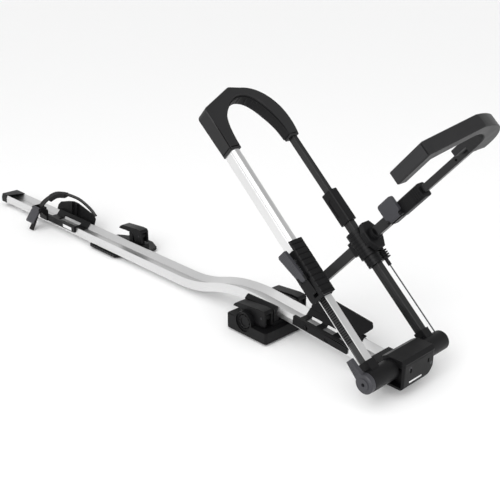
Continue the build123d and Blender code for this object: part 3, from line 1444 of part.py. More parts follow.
def cam_tower(tip_x, y, base_z):
    """Tower of a bracket with the eye of its cam lever."""
    rear_x = tip_x + CAM_LEVER_LENGTH * BOLT_SHARE
    front_x = tip_x + CAM_LEVER_LENGTH * CAM_TOWER_SHARE
    half = CAM_WIDTH / 2
    pin_x = cam_pivot_x(tip_x)
    step_x = pin_x - CAM_SWING_RADIUS
    body = block((rear_x - 2 * BOLT_RADIUS, front_x), (y - half, y + half), (base_z, CAM_SHELF_Z))
    body += block((rear_x - 2 * BOLT_RADIUS, step_x), (y - half, y + half), (base_z, CAM_TOWER_TOP))
    inner = half - CAM_CHEEK - CAM_GAP
    body += bar_y(CAM_EYE_RADIUS, y - inner, y + inner, pin_x, CAM_PIVOT_Z)
    body += block((step_x, pin_x), (y - inner, y + inner), (base_z, CAM_PIVOT_Z))
    return body


def bolt_window(tip_x, y):
    """Opening in the near side of a tower, on the tension bolt."""
    half = CAM_WIDTH / 2
    bolt_x = tip_x + CAM_LEVER_LENGTH * BOLT_SHARE
    return block(
        (bolt_x - BOLT_WINDOW / 2, bolt_x + BOLT_WINDOW / 2), (y - half, y + half - CAM_CHEEK),
        (BOLT_WINDOW_LOW, CAM_TOWER_TOP),
    )


def tension_bolt(tip_x, y):
    """Upright bolt under a cam lever, its head sunk in the bracket."""
    bolt_x = tip_x + CAM_LEVER_LENGTH * BOLT_SHARE
    head_top = BOLT_BOTTOM_Z + BOLT_HEAD_THICK
    head = bar_z(BOLT_HEAD_RADIUS, BOLT_BOTTOM_Z, head_top, bolt_x, y)
    return head + bar_z(BOLT_RADIUS, head_top, CAM_TIP_Z, bolt_x, y)


def cam_pin(tip_x, y):
    """Pin of a cam lever."""
    half = CAM_WIDTH / 2
    return bar_y(CAM_PIN_RADIUS, y - half, y + half, cam_pivot_x(tip_x), CAM_PIVOT_Z)


cam_places = (
    (FRONT_CAM_X, -FRONT_CAM_Y), (FRONT_CAM_X, FRONT_CAM_Y), (REAR_CAM_X, REAR_CAM_Y),
)


def make_front_base(envelope):
    """Deep moulded base of the front bracket with its saddle, two towers and the knob's boss."""
    points = [
        (BASE_REAR_X, BASE_NEAR_Y), (BASE_FRONT_X, BASE_NEAR_Y),
        (BASE_FRONT_X, BASE_FAR_Y), (BASE_REAR_X, BASE_FAR_Y),
    ]
    body = plan_prism(points, PAD_THICK, BASE_TOP_Z, BASE_CORNER)
    body = chamfer(body.faces().sort_by(Axis.Z)[-1].edges(), OVERRUN) - base_ledges()
    saddle = block(
        (-SADDLE_HALF_LENGTH, SADDLE_HALF_LENGTH), (-SADDLE_HALF_WIDTH, SADDLE_HALF_WIDTH),
        (BASE_TOP_Z - OVERRUN, nose_start.Z + TRAY_WALL),
    )
    gutter = Pos(0, 0, GUTTER_FLOOR) * envelope
    body = body + saddle - envelope - gutter
    body += bar_y(DIAL_BOSS_RADIUS, BASE_NEAR_Y, tower_near_y, DIAL_X, DIAL_Z)
    for tip_x, y in cam_places[:2]:
        body = body + cam_tower(tip_x, y, BASE_LEDGE_Z - OVERRUN)
        body = body - cam_pin(tip_x, y) - tension_bolt(tip_x, y)
    cove = DIAL_RADIUS + 2 * COVE_WIDTH
    body -= bar_y(cove, BASE_NEAR_Y, BASE_NEAR_Y + COVE_WIDTH, DIAL_X, DIAL_Z)
    well = DIAL_RADIUS + COVE_WIDTH / 2
    body -= bar_y(well, BASE_NEAR_Y, BASE_NEAR_Y + DIAL_THICK, DIAL_X, DIAL_Z)
    end = BASE_NEAR_Y + SHAFT_REACH + SIDE_GAP
    return body - bar_y(SHAFT_RADIUS + RUN_FIT, BASE_NEAR_Y, end, DIAL_X, DIAL_Z)


tower_near_y = -FRONT_CAM_Y - CAM_WIDTH / 2


def base_ledges():
    """What is cut away above the base's low ledges, in front and under both levers."""
    height = (BASE_LEDGE_Z, BASE_TOP_Z + OVERRUN)
    front = block(
        (BASE_LEDGE_X, BASE_FRONT_X + OVERRUN), (BASE_NEAR_Y - OVERRUN, BASE_FAR_Y + OVERRUN), height
    )
    step_x = cam_pivot_x(FRONT_CAM_X) - CAM_SWING_RADIUS
    inner_y = FRONT_CAM_Y - CAM_WIDTH / 2 - CAM_GAP
    near = block((DIAL_X, BASE_LEDGE_X), (BASE_NEAR_Y - OVERRUN, tower_near_y), height)
    near += block((step_x, BASE_LEDGE_X), (BASE_NEAR_Y - OVERRUN, -inner_y), height)
    far = block((step_x, BASE_LEDGE_X), (inner_y, BASE_FAR_Y + OVERRUN), height)
    return front + near + far


def make_dial():
    """Round clamp knob in the well of the front bracket."""
    outer = BASE_NEAR_Y + COVE_WIDTH
    inner = BASE_NEAR_Y + DIAL_THICK - SIDE_GAP
    body = bar_y(DIAL_RADIUS, outer, inner, DIAL_X, DIAL_Z)
    body -= bar_y(DIAL_HUB_RADIUS, outer, outer + COVE_WIDTH / 2, DIAL_X, DIAL_Z)
    for grip in range(DIAL_GRIPS):
        turn = 2 * pi * grip / DIAL_GRIPS
        x = DIAL_X + DIAL_RADIUS * cos(turn)
        z = DIAL_Z + DIAL_RADIUS * sin(turn)
        body -= bar_y(DIAL_GRIP_RADIUS, outer, inner, x, z)
    return body - bar_y(SHAFT_RADIUS, inner - COVE_WIDTH, inner, DIAL_X, DIAL_Z)


def make_dial_shaft():
    """Threaded shaft of the clamp knob."""
    inner = BASE_NEAR_Y + DIAL_THICK - SIDE_GAP
    return bar_y(SHAFT_RADIUS, inner - COVE_WIDTH, BASE_NEAR_Y + SHAFT_REACH, DIAL_X, DIAL_Z)


def make_front_pad():
    """Rubber pad between the front bracket and the roof bar."""
    body = block(
        (BASE_REAR_X + PAD_MARGIN, BASE_FRONT_X - PAD_MARGIN),
        (BASE_NEAR_Y + PAD_MARGIN, BASE_FAR_Y - PAD_MARGIN),
        (0, PAD_THICK),
    )
    return body - pad_grooves(BASE_REAR_X, BASE_FRONT_X, BASE_NEAR_Y, BASE_FAR_Y)


def pad_grooves(x0, x1, y0, y1):
    """Grooves across the underside of a rubber pad."""
    count = int((x1 - x0) / PAD_RIB_PITCH)
    grooves = []
    for groove in range(count):
        x = x0 + PAD_RIB_PITCH * (groove + 0.5)
        grooves.append(block((x, x + PAD_RIB), (y0, y1), (0, PAD_RIB)))
    return Compound(children=grooves)


def make_jaws(envelope):
    """Two shoes that grip the tray's shoulders over the front bracket."""
    shoulder = nose_start.Z + TRAY_SIDE
    section = [
        (SADDLE_HALF_WIDTH, BASE_TOP_Z), (half_width + JAW_THICK, BASE_TOP_Z),
        (half_width + JAW_THICK, shoulder), (half_width + CAP_WALL, shoulder + JAW_LIP),
        (half_width - TRAY_WALL, shoulder + JAW_LIP),
        (half_width - TRAY_WALL, shoulder - JAW_DROP), (SADDLE_HALF_WIDTH, shoulder - JAW_DROP),
    ]
    parts = []
    for side in (-1, 1):
        points = [(side * y, z) for y, z in section]
        jaw = end_prism(points, JAW_REAR_X, JAW_REAR_X + JAW_LENGTH)
        for tip_x, y in cam_places[:2]:
            jaw -= cam_tower(tip_x, y, BASE_LEDGE_Z - OVERRUN)
        parts.append(jaw - envelope)
    return Compound(children=parts)


def rear_outline():
    """Plan of the rear bracket's plate."""
    far = REAR_PLATE_FAR_Y
    corner = REAR_PLATE_CORNER
    return [
        (REAR_PLATE_REAR_X, REAR_PLATE_NEAR_Y), (REAR_PLATE_NECK_X, REAR_PLATE_NEAR_Y),
        (REAR_PLATE_FRONT_X, far - REAR_PLATE_LONG_CORNER),
        (REAR_PLATE_FRONT_X - corner / 2, far - corner),
        (REAR_PLATE_FRONT_X - REAR_PLATE_LONG_CORNER, far),
        (REAR_PLATE_REAR_X + REAR_PLATE_CUT, far),
        (REAR_PLATE_REAR_X, far - REAR_PLATE_CUT_WIDTH),
    ]


def make_rear_plate(envelope):
    """Flat plate of the rear bracket with the tray's saddle and one lever tower."""
    body = plan_prism(rear_outline(), PAD_THICK, REAR_PLATE_TOP, BASE_CORNER)
    body += block(
        (REAR_PLATE_REAR_X + REAR_SADDLE_HALF, REAR_PLATE_NECK_X - REAR_SADDLE_HALF / 2),
        (-REAR_SADDLE_HALF, REAR_SADDLE_HALF), (REAR_PLATE_TOP - OVERRUN, TRAY_SEAT_Z),
    )
    tip_x, y = cam_places[2]
    body = body + cam_tower(tip_x, y, REAR_PLATE_TOP - OVERRUN) - bolt_window(tip_x, y)
    body = body - cam_pin(tip_x, y) - tension_bolt(tip_x, y)
    slot_x = REAR_PLATE_FRONT_X - 2 * REAR_PLATE_CORNER
    slot_y = REAR_PLATE_FAR_Y - 2 * REAR_PLATE_CORNER
    slot = Plane.XY.offset(REAR_PLATE_TOP) * Pos(slot_x, slot_y) * SlotOverall(
        REAR_PLATE_CORNER, REAR_PLATE_CORNER / 2
    )
    return body - extrude(slot, -PAD_THICK) - envelope


def make_rear_pad():
    """Rubber pad between the rear bracket and the roof bar."""
    face = make_face(outline(rear_outline(), BASE_CORNER))
    body = extrude(offset(face, -PAD_MARGIN), PAD_THICK)
    far, near = REAR_PLATE_FAR_Y, REAR_PLATE_NEAR_Y
    return body - pad_grooves(REAR_PLATE_REAR_X, REAR_PLATE_FRONT_X, near, far)


# Rear wheel holder
def make_holder():
    """Sliding saddle with a low near wall and a tall far wall for the rear wheel."""
    inner = half_width + SIDE_GAP
    outer = inner + HOLDER_WALL
    section = [
        (y, z + TRAY_SEAT_Z) for y, z in saddle_section(SIDE_GAP, SIDE_GAP + HOLDER_FLOOR, outer)
    ]
    body = end_prism(section, HOLDER_REAR_X, HOLDER_FRONT_X)
    body -= block(
        (middle_x - HOLDER_WINDOW_LENGTH / 2, middle_x + HOLDER_WINDOW_LENGTH / 2),
        (-HOLDER_WINDOW_WIDTH / 2, HOLDER_WINDOW_WIDTH / 2),
        (TRAY_SEAT_Z, TRAY_SEAT_Z + TRAY_HEIGHT + SIDE_GAP + HOLDER_FLOOR),
    )
    body += block((HOLDER_REAR_X, HOLDER_FRONT_X), (-outer, -inner), (HOLDER_LOW_Z, HOLDER_NEAR_TOP))
    wall = [
        (inner, HOLDER_LOW_Z), (outer, HOLDER_LOW_Z),
        (outer + 2 * HOLDER_WALL, HOLDER_LOW_Z + HOLDER_WALL_RISE),
        (inner + 2 * HOLDER_WALL, HOLDER_LOW_Z + HOLDER_WALL_RISE),
    ]
    length = HOLDER_FRONT_X - HOLDER_REAR_X
    side_view = [
        (HOLDER_REAR_X + length * x, HOLDER_LOW_Z + HOLDER_WALL_RISE * z)
        for x, z in HOLDER_WALL_SHARES
    ]
    silhouette = side_prism(side_view, 0, outer + 3 * HOLDER_WALL)
    rear_x = min(x for x, z in side_view)
    front_x = max(x for x, z in side_view)
    body += end_prism(wall, rear_x, front_x) & silhouette
    for share in HOLDER_RIB_SHARES:
        x = HOLDER_REAR_X + length * share
        rib = [(y - HOLDER_RIB_DEPTH, z) for y, z in wall]
        rib = end_prism(rib, x, x + HOLDER_RIB_THICK) & silhouette
        rib &= block(
            (rear_x, front_x), (0, outer + 3 * HOLDER_WALL),
            (TRAY_SEAT_Z + TRAY_HEIGHT + SIDE_GAP, HOLDER_LOW_Z + HOLDER_WALL_RISE),
        )
        body += rib
    return body + buckle_mount()


middle_x = (HOLDER_REAR_X + HOLDER_FRONT_X) / 2
buckle_x0 = BUCKLE_X - BUCKLE_LENGTH / 2
buckle_x1 = BUCKLE_X + BUCKLE_LENGTH / 2
buckle_in_y = -half_width - SIDE_GAP - HOLDER_WALL
buckle_pin_y = buckle_in_y - BUCKLE_DEPTH
buckle_pin_z = BUCKLE_TOP_Z - BUCKLE_EYE_RADIUS


def buckle_mount():
    """Block on the near wall that carries the buckle."""
    return block(
        (buckle_x0, buckle_x1), (buckle_in_y, buckle_in_y + HOLDER_WALL),
        (HOLDER_LOW_Z, BUCKLE_TOP_Z - 2 * BUCKLE_EYE_RADIUS),
    )


def make_buckle():
    """Ladder-strap buckle: two cheeks with a pin on a back plate."""
    back = block(
        (buckle_x0, buckle_x1), (buckle_in_y - BUCKLE_CHEEK, buckle_in_y),
        (HOLDER_LOW_Z, BUCKLE_TOP_Z),
    )
    cheek_points = [
        (buckle_in_y, HOLDER_LOW_Z + 2 * BUCKLE_EYE_RADIUS), (buckle_in_y, BUCKLE_TOP_Z),
        (buckle_pin_y, buckle_pin_z + BUCKLE_EYE_RADIUS),
        (buckle_pin_y, buckle_pin_z - BUCKLE_EYE_RADIUS),
    ]
    body = back
    for start in (buckle_x0, buckle_x1 - BUCKLE_CHEEK):
        end = start + BUCKLE_CHEEK
        body += end_prism(cheek_points, start, end)
        body += bar_x(BUCKLE_EYE_RADIUS, start, end, buckle_pin_y, buckle_pin_z)
    return body - bar_x(BUCKLE_PIN_RADIUS, buckle_x0, buckle_x1, buckle_pin_y, buckle_pin_z)


def make_buckle_pin():
    """Pin of the buckle's lever."""
    return bar_x(BUCKLE_PIN_RADIUS, buckle_x0, buckle_x1, buckle_pin_y, buckle_pin_z)


def make_buckle_lever():
    """Flared finger lever of the strap buckle."""
    inner_x0 = buckle_x0 + BUCKLE_CHEEK + SIDE_GAP
    inner_x1 = buckle_x1 - BUCKLE_CHEEK - SIDE_GAP
    eye = bar_x(BUCKLE_EYE_RADIUS, inner_x0, inner_x1, buckle_pin_y, buckle_pin_z)
    tip_y = buckle_pin_y - BUCKLE_LEVER_REACH
    tip_z = buckle_pin_z - BUCKLE_LEVER_DROP
    neck = [
        (buckle_pin_y, buckle_pin_z + BUCKLE_EYE_RADIUS), (tip_y, tip_z),
        (tip_y, tip_z - BUCKLE_LEVER_THICK), (buckle_pin_y, buckle_pin_z - BUCKLE_EYE_RADIUS),
    ]
    clear = buckle_pin_y - BUCKLE_EYE_RADIUS - SIDE_GAP
    blade = end_prism(neck, buckle_x0, buckle_x1)
    blade &= block((buckle_x0, buckle_x1), (tip_y, clear), (0, BUCKLE_TOP_Z))
    body = eye + end_prism(neck, inner_x0, inner_x1) + blade
    return body - bar_x(
        BUCKLE_PIN_RADIUS + RUN_FIT, buckle_x0, buckle_x1, buckle_pin_y, buckle_pin_z
    )


strap_length = sqrt(STRAP_SPAN[0] ** 2 + STRAP_SPAN[1] ** 2)
strap_plane = Plane(
    origin=(*STRAP_FOOT, STRAP_FOOT_Z), x_dir=(*STRAP_SPAN, 0),
    z_dir=(STRAP_SPAN[1], -STRAP_SPAN[0], 0),
)


def strap_band(left, right, width, start=0, end=1):
    """Part of a band that follows the strap's arch at set distances above it."""
    points = [(strap_length * s, STRAP_RISE * z) for s, z in STRAP_SHARES]
    face = band_face(Spline(*points), left, right, start, end)
    return extrude(strap_plane.offset(-width / 2) * face, width)


def make_strap():
    """Ladder strap from the far wall over the wheel to the buckle, with its hanging tail."""
    over_buckle = block((2 * BUCKLE_X, middle_x), (-TRAY_WIDTH, TRAY_WIDTH), (0, BUCKLE_TOP_Z))
    arch = strap_band(STRAP_THICK, 0, STRAP_WIDTH) - over_buckle - make_holder()
    tail_y = buckle_pin_y - SIDE_GAP
    top = buckle_pin_z - BUCKLE_EYE_RADIUS - BUCKLE_LEVER_THICK - STRAP_THICK
    reach = STRAP_TAIL_REACH
    tail = end_prism(
        [
            (buckle_in_y - BUCKLE_CHEEK, top), (tail_y, top - STRAP_THICK),
            (tail_y - reach, top - STRAP_TAIL_DROP), (tail_y - reach - STRAP_THICK, top - STRAP_TAIL_DROP),
            (tail_y - STRAP_THICK, top), (buckle_in_y - BUCKLE_CHEEK, top + STRAP_THICK),
        ],
        BUCKLE_X - STRAP_WIDTH / 2, BUCKLE_X + STRAP_WIDTH / 2,
    )
    return Compound(children=[arch, tail])


def make_strap_pad():
    """Thick soft pad under the top of the strap."""
    low = -STRAP_PAD_THICK - STRAP_GAP
    return strap_band(-STRAP_GAP, low, STRAP_PAD_WIDTH, STRAP_PAD_START, STRAP_PAD_END)


def main():
    """Builds every node and writes it to the parts folder."""
    os.makedirs("parts", exist_ok=True)
    envelope = make_tray_envelope()
    save("tray_rail", make_tray())
    save("rear_end_cap", make_end_cap())
    save("rear_bracket_plate", make_rear_plate(envelope))
    save("rear_bar_pad", make_rear_pad())
    save("front_bracket_base", make_front_base(envelope))
    save("front_bar_pad", make_front_pad())
    save("tray_clamp_shoes", make_jaws(envelope))
    save("tension_bolts", Compound(children=[tension_bolt(x, y) for x, y in cam_places]))
    save("lever_pins", Compound(children=[cam_pin(x, y) for x, y in cam_places]))
    for name, (x, y) in zip(("front_near_lever", "front_far_lever", "rear_lever"), cam_places):
        save(name, make_cam_lever(x, y))
    save("front_knob", make_dial())
    save("knob_shaft", make_dial_shaft())
    save("cradle", on_nose(make_cradle()))
    save("cradle_wing", on_nose(make_wing()))
    save("hinge_housing", make_housing(envelope))
    save("housing_cover", make_cover())
    save("housing_screw", make_screw())
    save("lock_cylinder", make_lock())
    save("hinge_axle", make_axle())
    flat_parts = {
        "near_barrel": make_near_barrel(),
        "far_barrel": make_far_barrel(),
        "far_end_cap": make_far_cap(),
        "hinge_bushes": make_bushes(),
        "near_rail": make_near_rail(),
        "ratchet_rack": make_rack(),
        "far_tube": make_far_tube(),
        "far_sleeve": make_far_sleeve(),
        "link_rod": make_link_rod(),
        "near_tube": make_near_tube(),
        "front_hook": make_front_hook(),
        "front_hook_pad": make_front_hook_pad(),
        "far_bar": make_far_bar(),
        "ratchet_housing": make_ratchet_housing(),
        "ratchet_cover": make_ratchet_cover(),
        "ratchet_pin": make_ratchet_pin(),
        "ratchet_spring": make_ratchet_spring(),
        "ratchet_lever": make_ratchet_lever(),
        "ratchet_pawl": make_pawl(),
        "lock_knob": make_knob(),
        "collar": make_collar(),
        "collar_plate": make_plate(),
        "second_tube": make_second_tube(),
        "second_tail": make_second_tail(),
        "rod_boot": make_rod_boot(),
        "rod_fitting": make_rod_fitting(),
        "second_sleeve": make_second_sleeve(),
        "second_lever_pin": make_flip_pin(),
        "second_lever": make_flip_lever(),
        "second_bar": make_second_bar(),
        "second_hook": make_second_hook(),
        "second_hook_pad": make_tip_pad(),
    }
    for name, shape in flat_parts.items():
        save(name, raise_hoop(shape))
    save("rear_holder", make_holder())
    save("strap_buckle", make_buckle())
    save("buckle_pin", make_buckle_pin())
    save("buckle_lever", make_buckle_lever())
    save("holder_strap", make_strap())
    save("strap_pad", make_strap_pad())


main()
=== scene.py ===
"""The look of a roof mounted bike carrier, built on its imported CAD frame.

Run as a script, it makes each finish, rounds the moulded pieces, models the soft pieces and sets the stage.
"""

import json
from math import cos, pi, radians, sin

import bmesh
import bpy
from mathutils import Matrix, Vector


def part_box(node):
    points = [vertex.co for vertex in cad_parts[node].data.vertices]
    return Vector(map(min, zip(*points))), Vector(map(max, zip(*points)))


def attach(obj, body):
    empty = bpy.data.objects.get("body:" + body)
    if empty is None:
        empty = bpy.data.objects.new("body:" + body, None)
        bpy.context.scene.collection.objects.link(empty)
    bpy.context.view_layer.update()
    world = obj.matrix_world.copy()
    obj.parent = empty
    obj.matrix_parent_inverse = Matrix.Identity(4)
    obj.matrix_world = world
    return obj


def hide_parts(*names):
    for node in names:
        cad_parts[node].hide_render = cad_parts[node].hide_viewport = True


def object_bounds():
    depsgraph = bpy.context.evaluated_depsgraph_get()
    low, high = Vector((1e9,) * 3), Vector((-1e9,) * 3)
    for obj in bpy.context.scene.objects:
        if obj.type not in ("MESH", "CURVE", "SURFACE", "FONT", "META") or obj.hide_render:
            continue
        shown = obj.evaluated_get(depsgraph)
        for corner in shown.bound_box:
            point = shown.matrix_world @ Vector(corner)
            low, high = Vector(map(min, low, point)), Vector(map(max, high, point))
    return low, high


bl_info = {
    "name": "Roof Mounted Bike Carrier",
    "version": (1, 0, 0),
    "blender": (4, 5, 0),
    "location": "View3D > Sidebar > Carrier",
    "description": "Builds the finishes, moulded edges, soft pieces and stage of a roof mounted bike carrier",
    "category": "Object",
}

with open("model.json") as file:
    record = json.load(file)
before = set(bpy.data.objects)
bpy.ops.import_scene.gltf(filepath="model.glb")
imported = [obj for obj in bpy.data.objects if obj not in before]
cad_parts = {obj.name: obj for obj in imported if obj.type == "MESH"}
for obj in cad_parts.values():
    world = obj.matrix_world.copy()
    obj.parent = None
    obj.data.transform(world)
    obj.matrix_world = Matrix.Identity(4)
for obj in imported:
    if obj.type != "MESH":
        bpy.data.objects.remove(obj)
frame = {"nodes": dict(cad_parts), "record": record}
CAD_LOW, CAD_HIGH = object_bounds()
NODES = frame["nodes"]
MM = 0.001

# Which nodes take which finish, by the record's slot names.
SLOT_NODES = {
    "silver_tray": ["tray_rail"],
    "silver_arm": ["near_rail", "near_tube"],
    "black_plastic": [
        "rear_end_cap",
        "rear_bracket_plate",
        "front_bracket_base",
        "tray_clamp_shoes",
        "front_near_lever",
        "front_far_lever",
        "rear_lever",
        "front_knob",
        "cradle",
        "cradle_wing",
        "hinge_housing",
        "housing_cover",
        "near_barrel",
        "far_barrel",
        "far_end_cap",
        "hinge_bushes",
        "far_sleeve",
        "front_hook",
        "ratchet_housing",
        "ratchet_cover",
        "ratchet_pawl",
        "collar",
        "collar_plate",
        "second_sleeve",
        "second_hook",
        "rear_holder",
        "strap_buckle",
        "rod_fitting",
    ],
    "grey_plastic": ["ratchet_lever", "lock_knob", "second_lever", "buckle_lever"],
    "rack_plastic": ["ratchet_rack"],
    "black_tube": ["far_tube", "far_bar", "second_tube", "second_tail", "second_bar"],
    "rubber": [
        "rear_bar_pad",
        "front_bar_pad",
        "front_hook_pad",
        "second_hook_pad",
        "rod_boot",
        "holder_strap",
        "strap_pad",
    ],
    "steel": ["tension_bolts", "ratchet_spring"],
    "dark_steel": [
        "lever_pins",
        "lock_cylinder",
        "knob_shaft",
        "housing_screw",
        "hinge_axle",
        "link_rod",
        "ratchet_pin",
        "second_lever_pin",
        "buckle_pin",
    ],
}

# The moulded edge of each rounded piece, in millimetres.
MOULDED_EDGES = {
    "rear_end_cap": 0.8,
    "rear_bracket_plate": 1.0,
    "front_bracket_base": 1.2,
    "front_near_lever": 0.9,
    "front_far_lever": 0.9,
    "rear_lever": 0.9,
    "front_knob": 0.6,
    "cradle": 0.8,
    "cradle_wing": 0.8,
    "hinge_housing": 1.8,
    "housing_cover": 2.2,
    "near_barrel": 1.2,
    "far_barrel": 1.2,
    "far_end_cap": 0.8,
    "far_sleeve": 1.0,
    "front_hook": 3.2,
    "ratchet_housing": 1.0,
    "ratchet_cover": 0.8,
    "collar": 0.6,
    "collar_plate": 1.0,
    "second_sleeve": 0.8,
    "second_hook": 2.2,
    "rear_holder": 0.8,
    "strap_buckle": 0.7,
    "ratchet_lever": 0.8,
    "lock_knob": 0.8,
    "second_lever": 1.0,
    "buckle_lever": 0.8,
}

# Nodes whose finish differs from the rest of their slot.
OWN_FINISH = {"front_hook": "hook_cover_and_rib_highlight", "second_hook": "hook_cover_and_rib_highlight"}

# Joining a CAD node's triangles: the distance in millimetres and the angle in degrees that count as none.
JOIN_DISTANCE = 0.002
FLAT_ANGLE = 1.5
# A surface that turns by more than this, in degrees, has a sharp edge: in shading, on a mould and on a pad.
SHADE_ANGLE = 32.0
MOULD_ANGLE = 28
PAD_ANGLE = 35
MOULD_SEGMENTS = 2
PAD_SEGMENTS = 4

# The rounding of each rubber pad, in millimetres, near half of its thickness, so that its face is domed.
PAD_EDGES = {"front_hook_pad": 1.6, "second_hook_pad": 1.1, "rear_bar_pad": 0.8, "front_bar_pad": 0.8}

# The hoop, in millimetres: distances along its arms start at the hinge axis, heights at their middle.
HINGE_X, HINGE_Z = 380.0, 62.0
ARM_LIFT = radians(42.3)
ARM_WAY = Vector((-cos(ARM_LIFT), 0, sin(ARM_LIFT)))
ARM_UP = Vector((sin(ARM_LIFT), 0, cos(ARM_LIFT)))
ARM_Y = 92.5
CROSS_A = 261.0
HOOK_ROOT_A = 552.0
HOOK_CREASE_END_A = 655.0
HOOK_HALF = 107.0
HOOK_THICK = 37.0
NEAR_LEG_INNER_Y = -78.0
FAR_LEG_INNER_Y = 78.0
FAR_LEG_OUTER_Y = 104.0
FAR_LEG_THICK = 23.0
CUFF_SETBACK = 6.0
CUFF_STEPS = 48
CUFF_SQUARENESS = 0.3
CREASE_STEPS = 20
# The dark cords that paint the shade of the hook's crease and seams, in millimetres.
SHADE_CORD_RADIUS = 1.0
SHADE_CORD_SINK = 0.9
SHADE_CORD_SEGMENTS = 8

# The power that squares a swept section: 2 is an ellipse, a higher one is nearer to a rectangle.
ROUND_SECTION = 2.0
SLEEVE_SECTION = 4.5
BAND_SECTION = 6.0
# The share of a curve to either side of a point that gives its direction there.
WAY_STEP = 0.01

# The wheel strap, in millimetres. Its shares are of the span and of the rise, its turn is in degrees.
STRAP_FOOT = (-785.0, 38.5)
STRAP_SPAN = (-177.0, -83.0)
STRAP_FOOT_Z = 57.0
STRAP_RISE = 57.0
STRAP_SHARES = (
    (0.0, 0.0), (0.09, 0.36), (0.26, 0.77), (0.42, 0.95), (0.56, 1.0),
    (0.70, 0.92), (0.84, 0.62), (0.93, 0.34), (0.99, 0.09),
)
STRAP_HALF = 11.0
STRAP_THICK = 3.0
STRAP_TURN = (134.0, 178.0)
STRAP_BEND = 1.1
STRAP_STEPS = 40
STRAP_PAD_SPAN = (0.44, 0.73)
STRAP_PAD_HALF = 13.0
STRAP_PAD_RISE = 2.0
STRAP_PAD_THICK = 9.0
STRAP_PAD_STEPS = 20
STRAP_PAD_END_SIZE = 0.72
STRAP_PAD_SWELL = 6
TAIL_X = -962.0
TAIL_ROUTE = ((-37.0, 49.5), (-55.0, 47.5), (-64.0, 32.0), (-73.0, 14.0), (-82.5, -1.0))
TAIL_STEPS = 16

# The guide rod's boot, in millimetres.
BOOT_CREST = 12.8
BOOT_VALLEY = 7.6
BOOT_BORE = 2.4
BOOT_RINGS = 4
BOOT_PITCH = 5.5
BOOT_ROUNDING = 0.5
# One ring of the boot: shares of its pitch and the radius there.
BOOT_RING = (
    (0.04, BOOT_VALLEY),
    (0.2, BOOT_CREST - BOOT_ROUNDING),
    (0.38, BOOT_CREST),
    (0.56, BOOT_CREST - BOOT_ROUNDING),
    (0.72, BOOT_VALLEY),
)

# The round nut of the second arm on the collar's plate, in millimetres.
NUT_LOW_N, NUT_HIGH_N = 42.2, 54.0
NUT_RADIUS = 15.5
NUT_GROOVE = 1.2
NUT_BORE = 11.2

# The bare plates where the photograph has lettering, in millimetres: centre and size.
HOLDER_LABEL = ((-830.0, -34.0, 29.5), (46.0, 0.6, 10.0))
HOUSING_LABEL = ((412.0, -3.0, 36.0), (0.6, 42.0, 3.6))
LABEL_EDGE = 0.2
# The recesses in the housing's front, drawn as thin dark sheets of painted shade.
HOUSING_SLOTS = ((412.0, -20.5, 60.9), (412.0, 39.4, 61.9))
SLOT_SIZE = (0.5, 5.0, 9.0)
RECESS_EDGE = 0.15
# The hole in the near face of the second hook's bar, drawn as a thin dark sheet of painted shade.
BAR_HOLE = ((401.0, 85.9, 472.1), (4.5, 0.5, 4.5))
# The ribs along the rear plate's near edge, in a finish lighter than the plate as a painted highlight.
RIB_START_X, RIB_PITCH, RIB_COUNT = -700.0, 13.0, 9
RIB_Y, RIB_Z = -33.0, 7.5
RIB_SIZE = (6.5, 1.6, 6.0)
RIB_EDGE = 0.5

# The colour sockets of a mix node, which share their names with its other sockets.
MIX_FIRST, MIX_SECOND, MIX_RESULT = 6, 7, 2

# The stage, in metres and degrees: the floor lies just below the carrier.
FLOOR_DROP = 1 * MM
FLOOR_SEGMENTS = 96
FLOOR_COLOUR = "#F4F4F4"
SKY_COLOUR = "#FFFFFF"
SKY_HEIGHTS, SKY_STRENGTHS = (0.05, 0.7), (1.1, 0.5)
SUN_PLACE, SUN_ANGLE = (0.3, -0.75, 1.0), 80
KEY_PLACE, KEY_AIM, KEY_SIZE = (0.9, -2.4, 2.0), (-0.2, 0, 0.15), 1.6
FILL_PLACE, FILL_AIM, FILL_SIZE = (2.6, 0.6, 1.6), (0, 0, 0.2), 1.4
KEY_TO_FILL = 3

# The camera at the photograph's view: its place in metres, its own axes, and its lens in millimetres.
CAMERA_PLACE = (1.2071, -1.2303, 0.9053)
CAMERA_RIGHT = Vector((0.6932, 0.7207, 0.0))
CAMERA_UP = Vector((-0.2753, 0.2648, 0.9241))
CAMERA_LENS, CAMERA_SENSOR = 58.82, 36.0
CAMERA_NEAR, CAMERA_FAR = 0.05, 100

BODY_OF = {name: body for body, names in frame["record"]["behaviour"]["bodies"].items() for name in names}


def linear(hexa):
    """An sRGB hex colour as the linear colour that a shader takes."""
    values = [int(hexa[i : i + 2], 16) / 255 for i in (1, 3, 5)]
    return tuple(v / 12.92 if v <= 0.04045 else ((v + 0.055) / 1.055) ** 2.4 for v in values) + (1.0,)


def add_node(tree, kind, settings=None, values=None, links=None):
    """Adds a shader node with its settings, its socket values and the links into it."""
    made = tree.nodes.new(kind)
    for name, value in (settings or {}).items():
        setattr(made, name, value)
    for name, value in (values or {}).items():
        made.inputs[name].default_value = value
    for name, source in (links or {}).items():
        tree.links.new(source, made.inputs[name])
    return made


def new_material(name):
    """An empty material with its output, ready for a finish."""
    material = bpy.data.materials.new(name)
    material.use_nodes = True
    material.node_tree.nodes.clear()
    return material, material.node_tree


def noise(tree, place, scale, detail, roughness=0.5):
    """A noise over the object, its scale in waves per metre."""
    values = {"Scale": scale, "Detail": detail, "Roughness": roughness}
    return add_node(tree, "ShaderNodeTexNoise", values=values, links={"Vector": place}).outputs["Fac"]


def mixed(tree, factor, colour, shade):
    """A colour that wanders between two hex colours."""
    mix = add_node(tree, "ShaderNodeMix", settings={"data_type": "RGBA"}, links={"Factor": factor})
    mix.inputs[MIX_FIRST].default_value = linear(colour)
    mix.inputs[MIX_SECOND].default_value = linear(shade)
    return mix.outputs[MIX_RESULT]


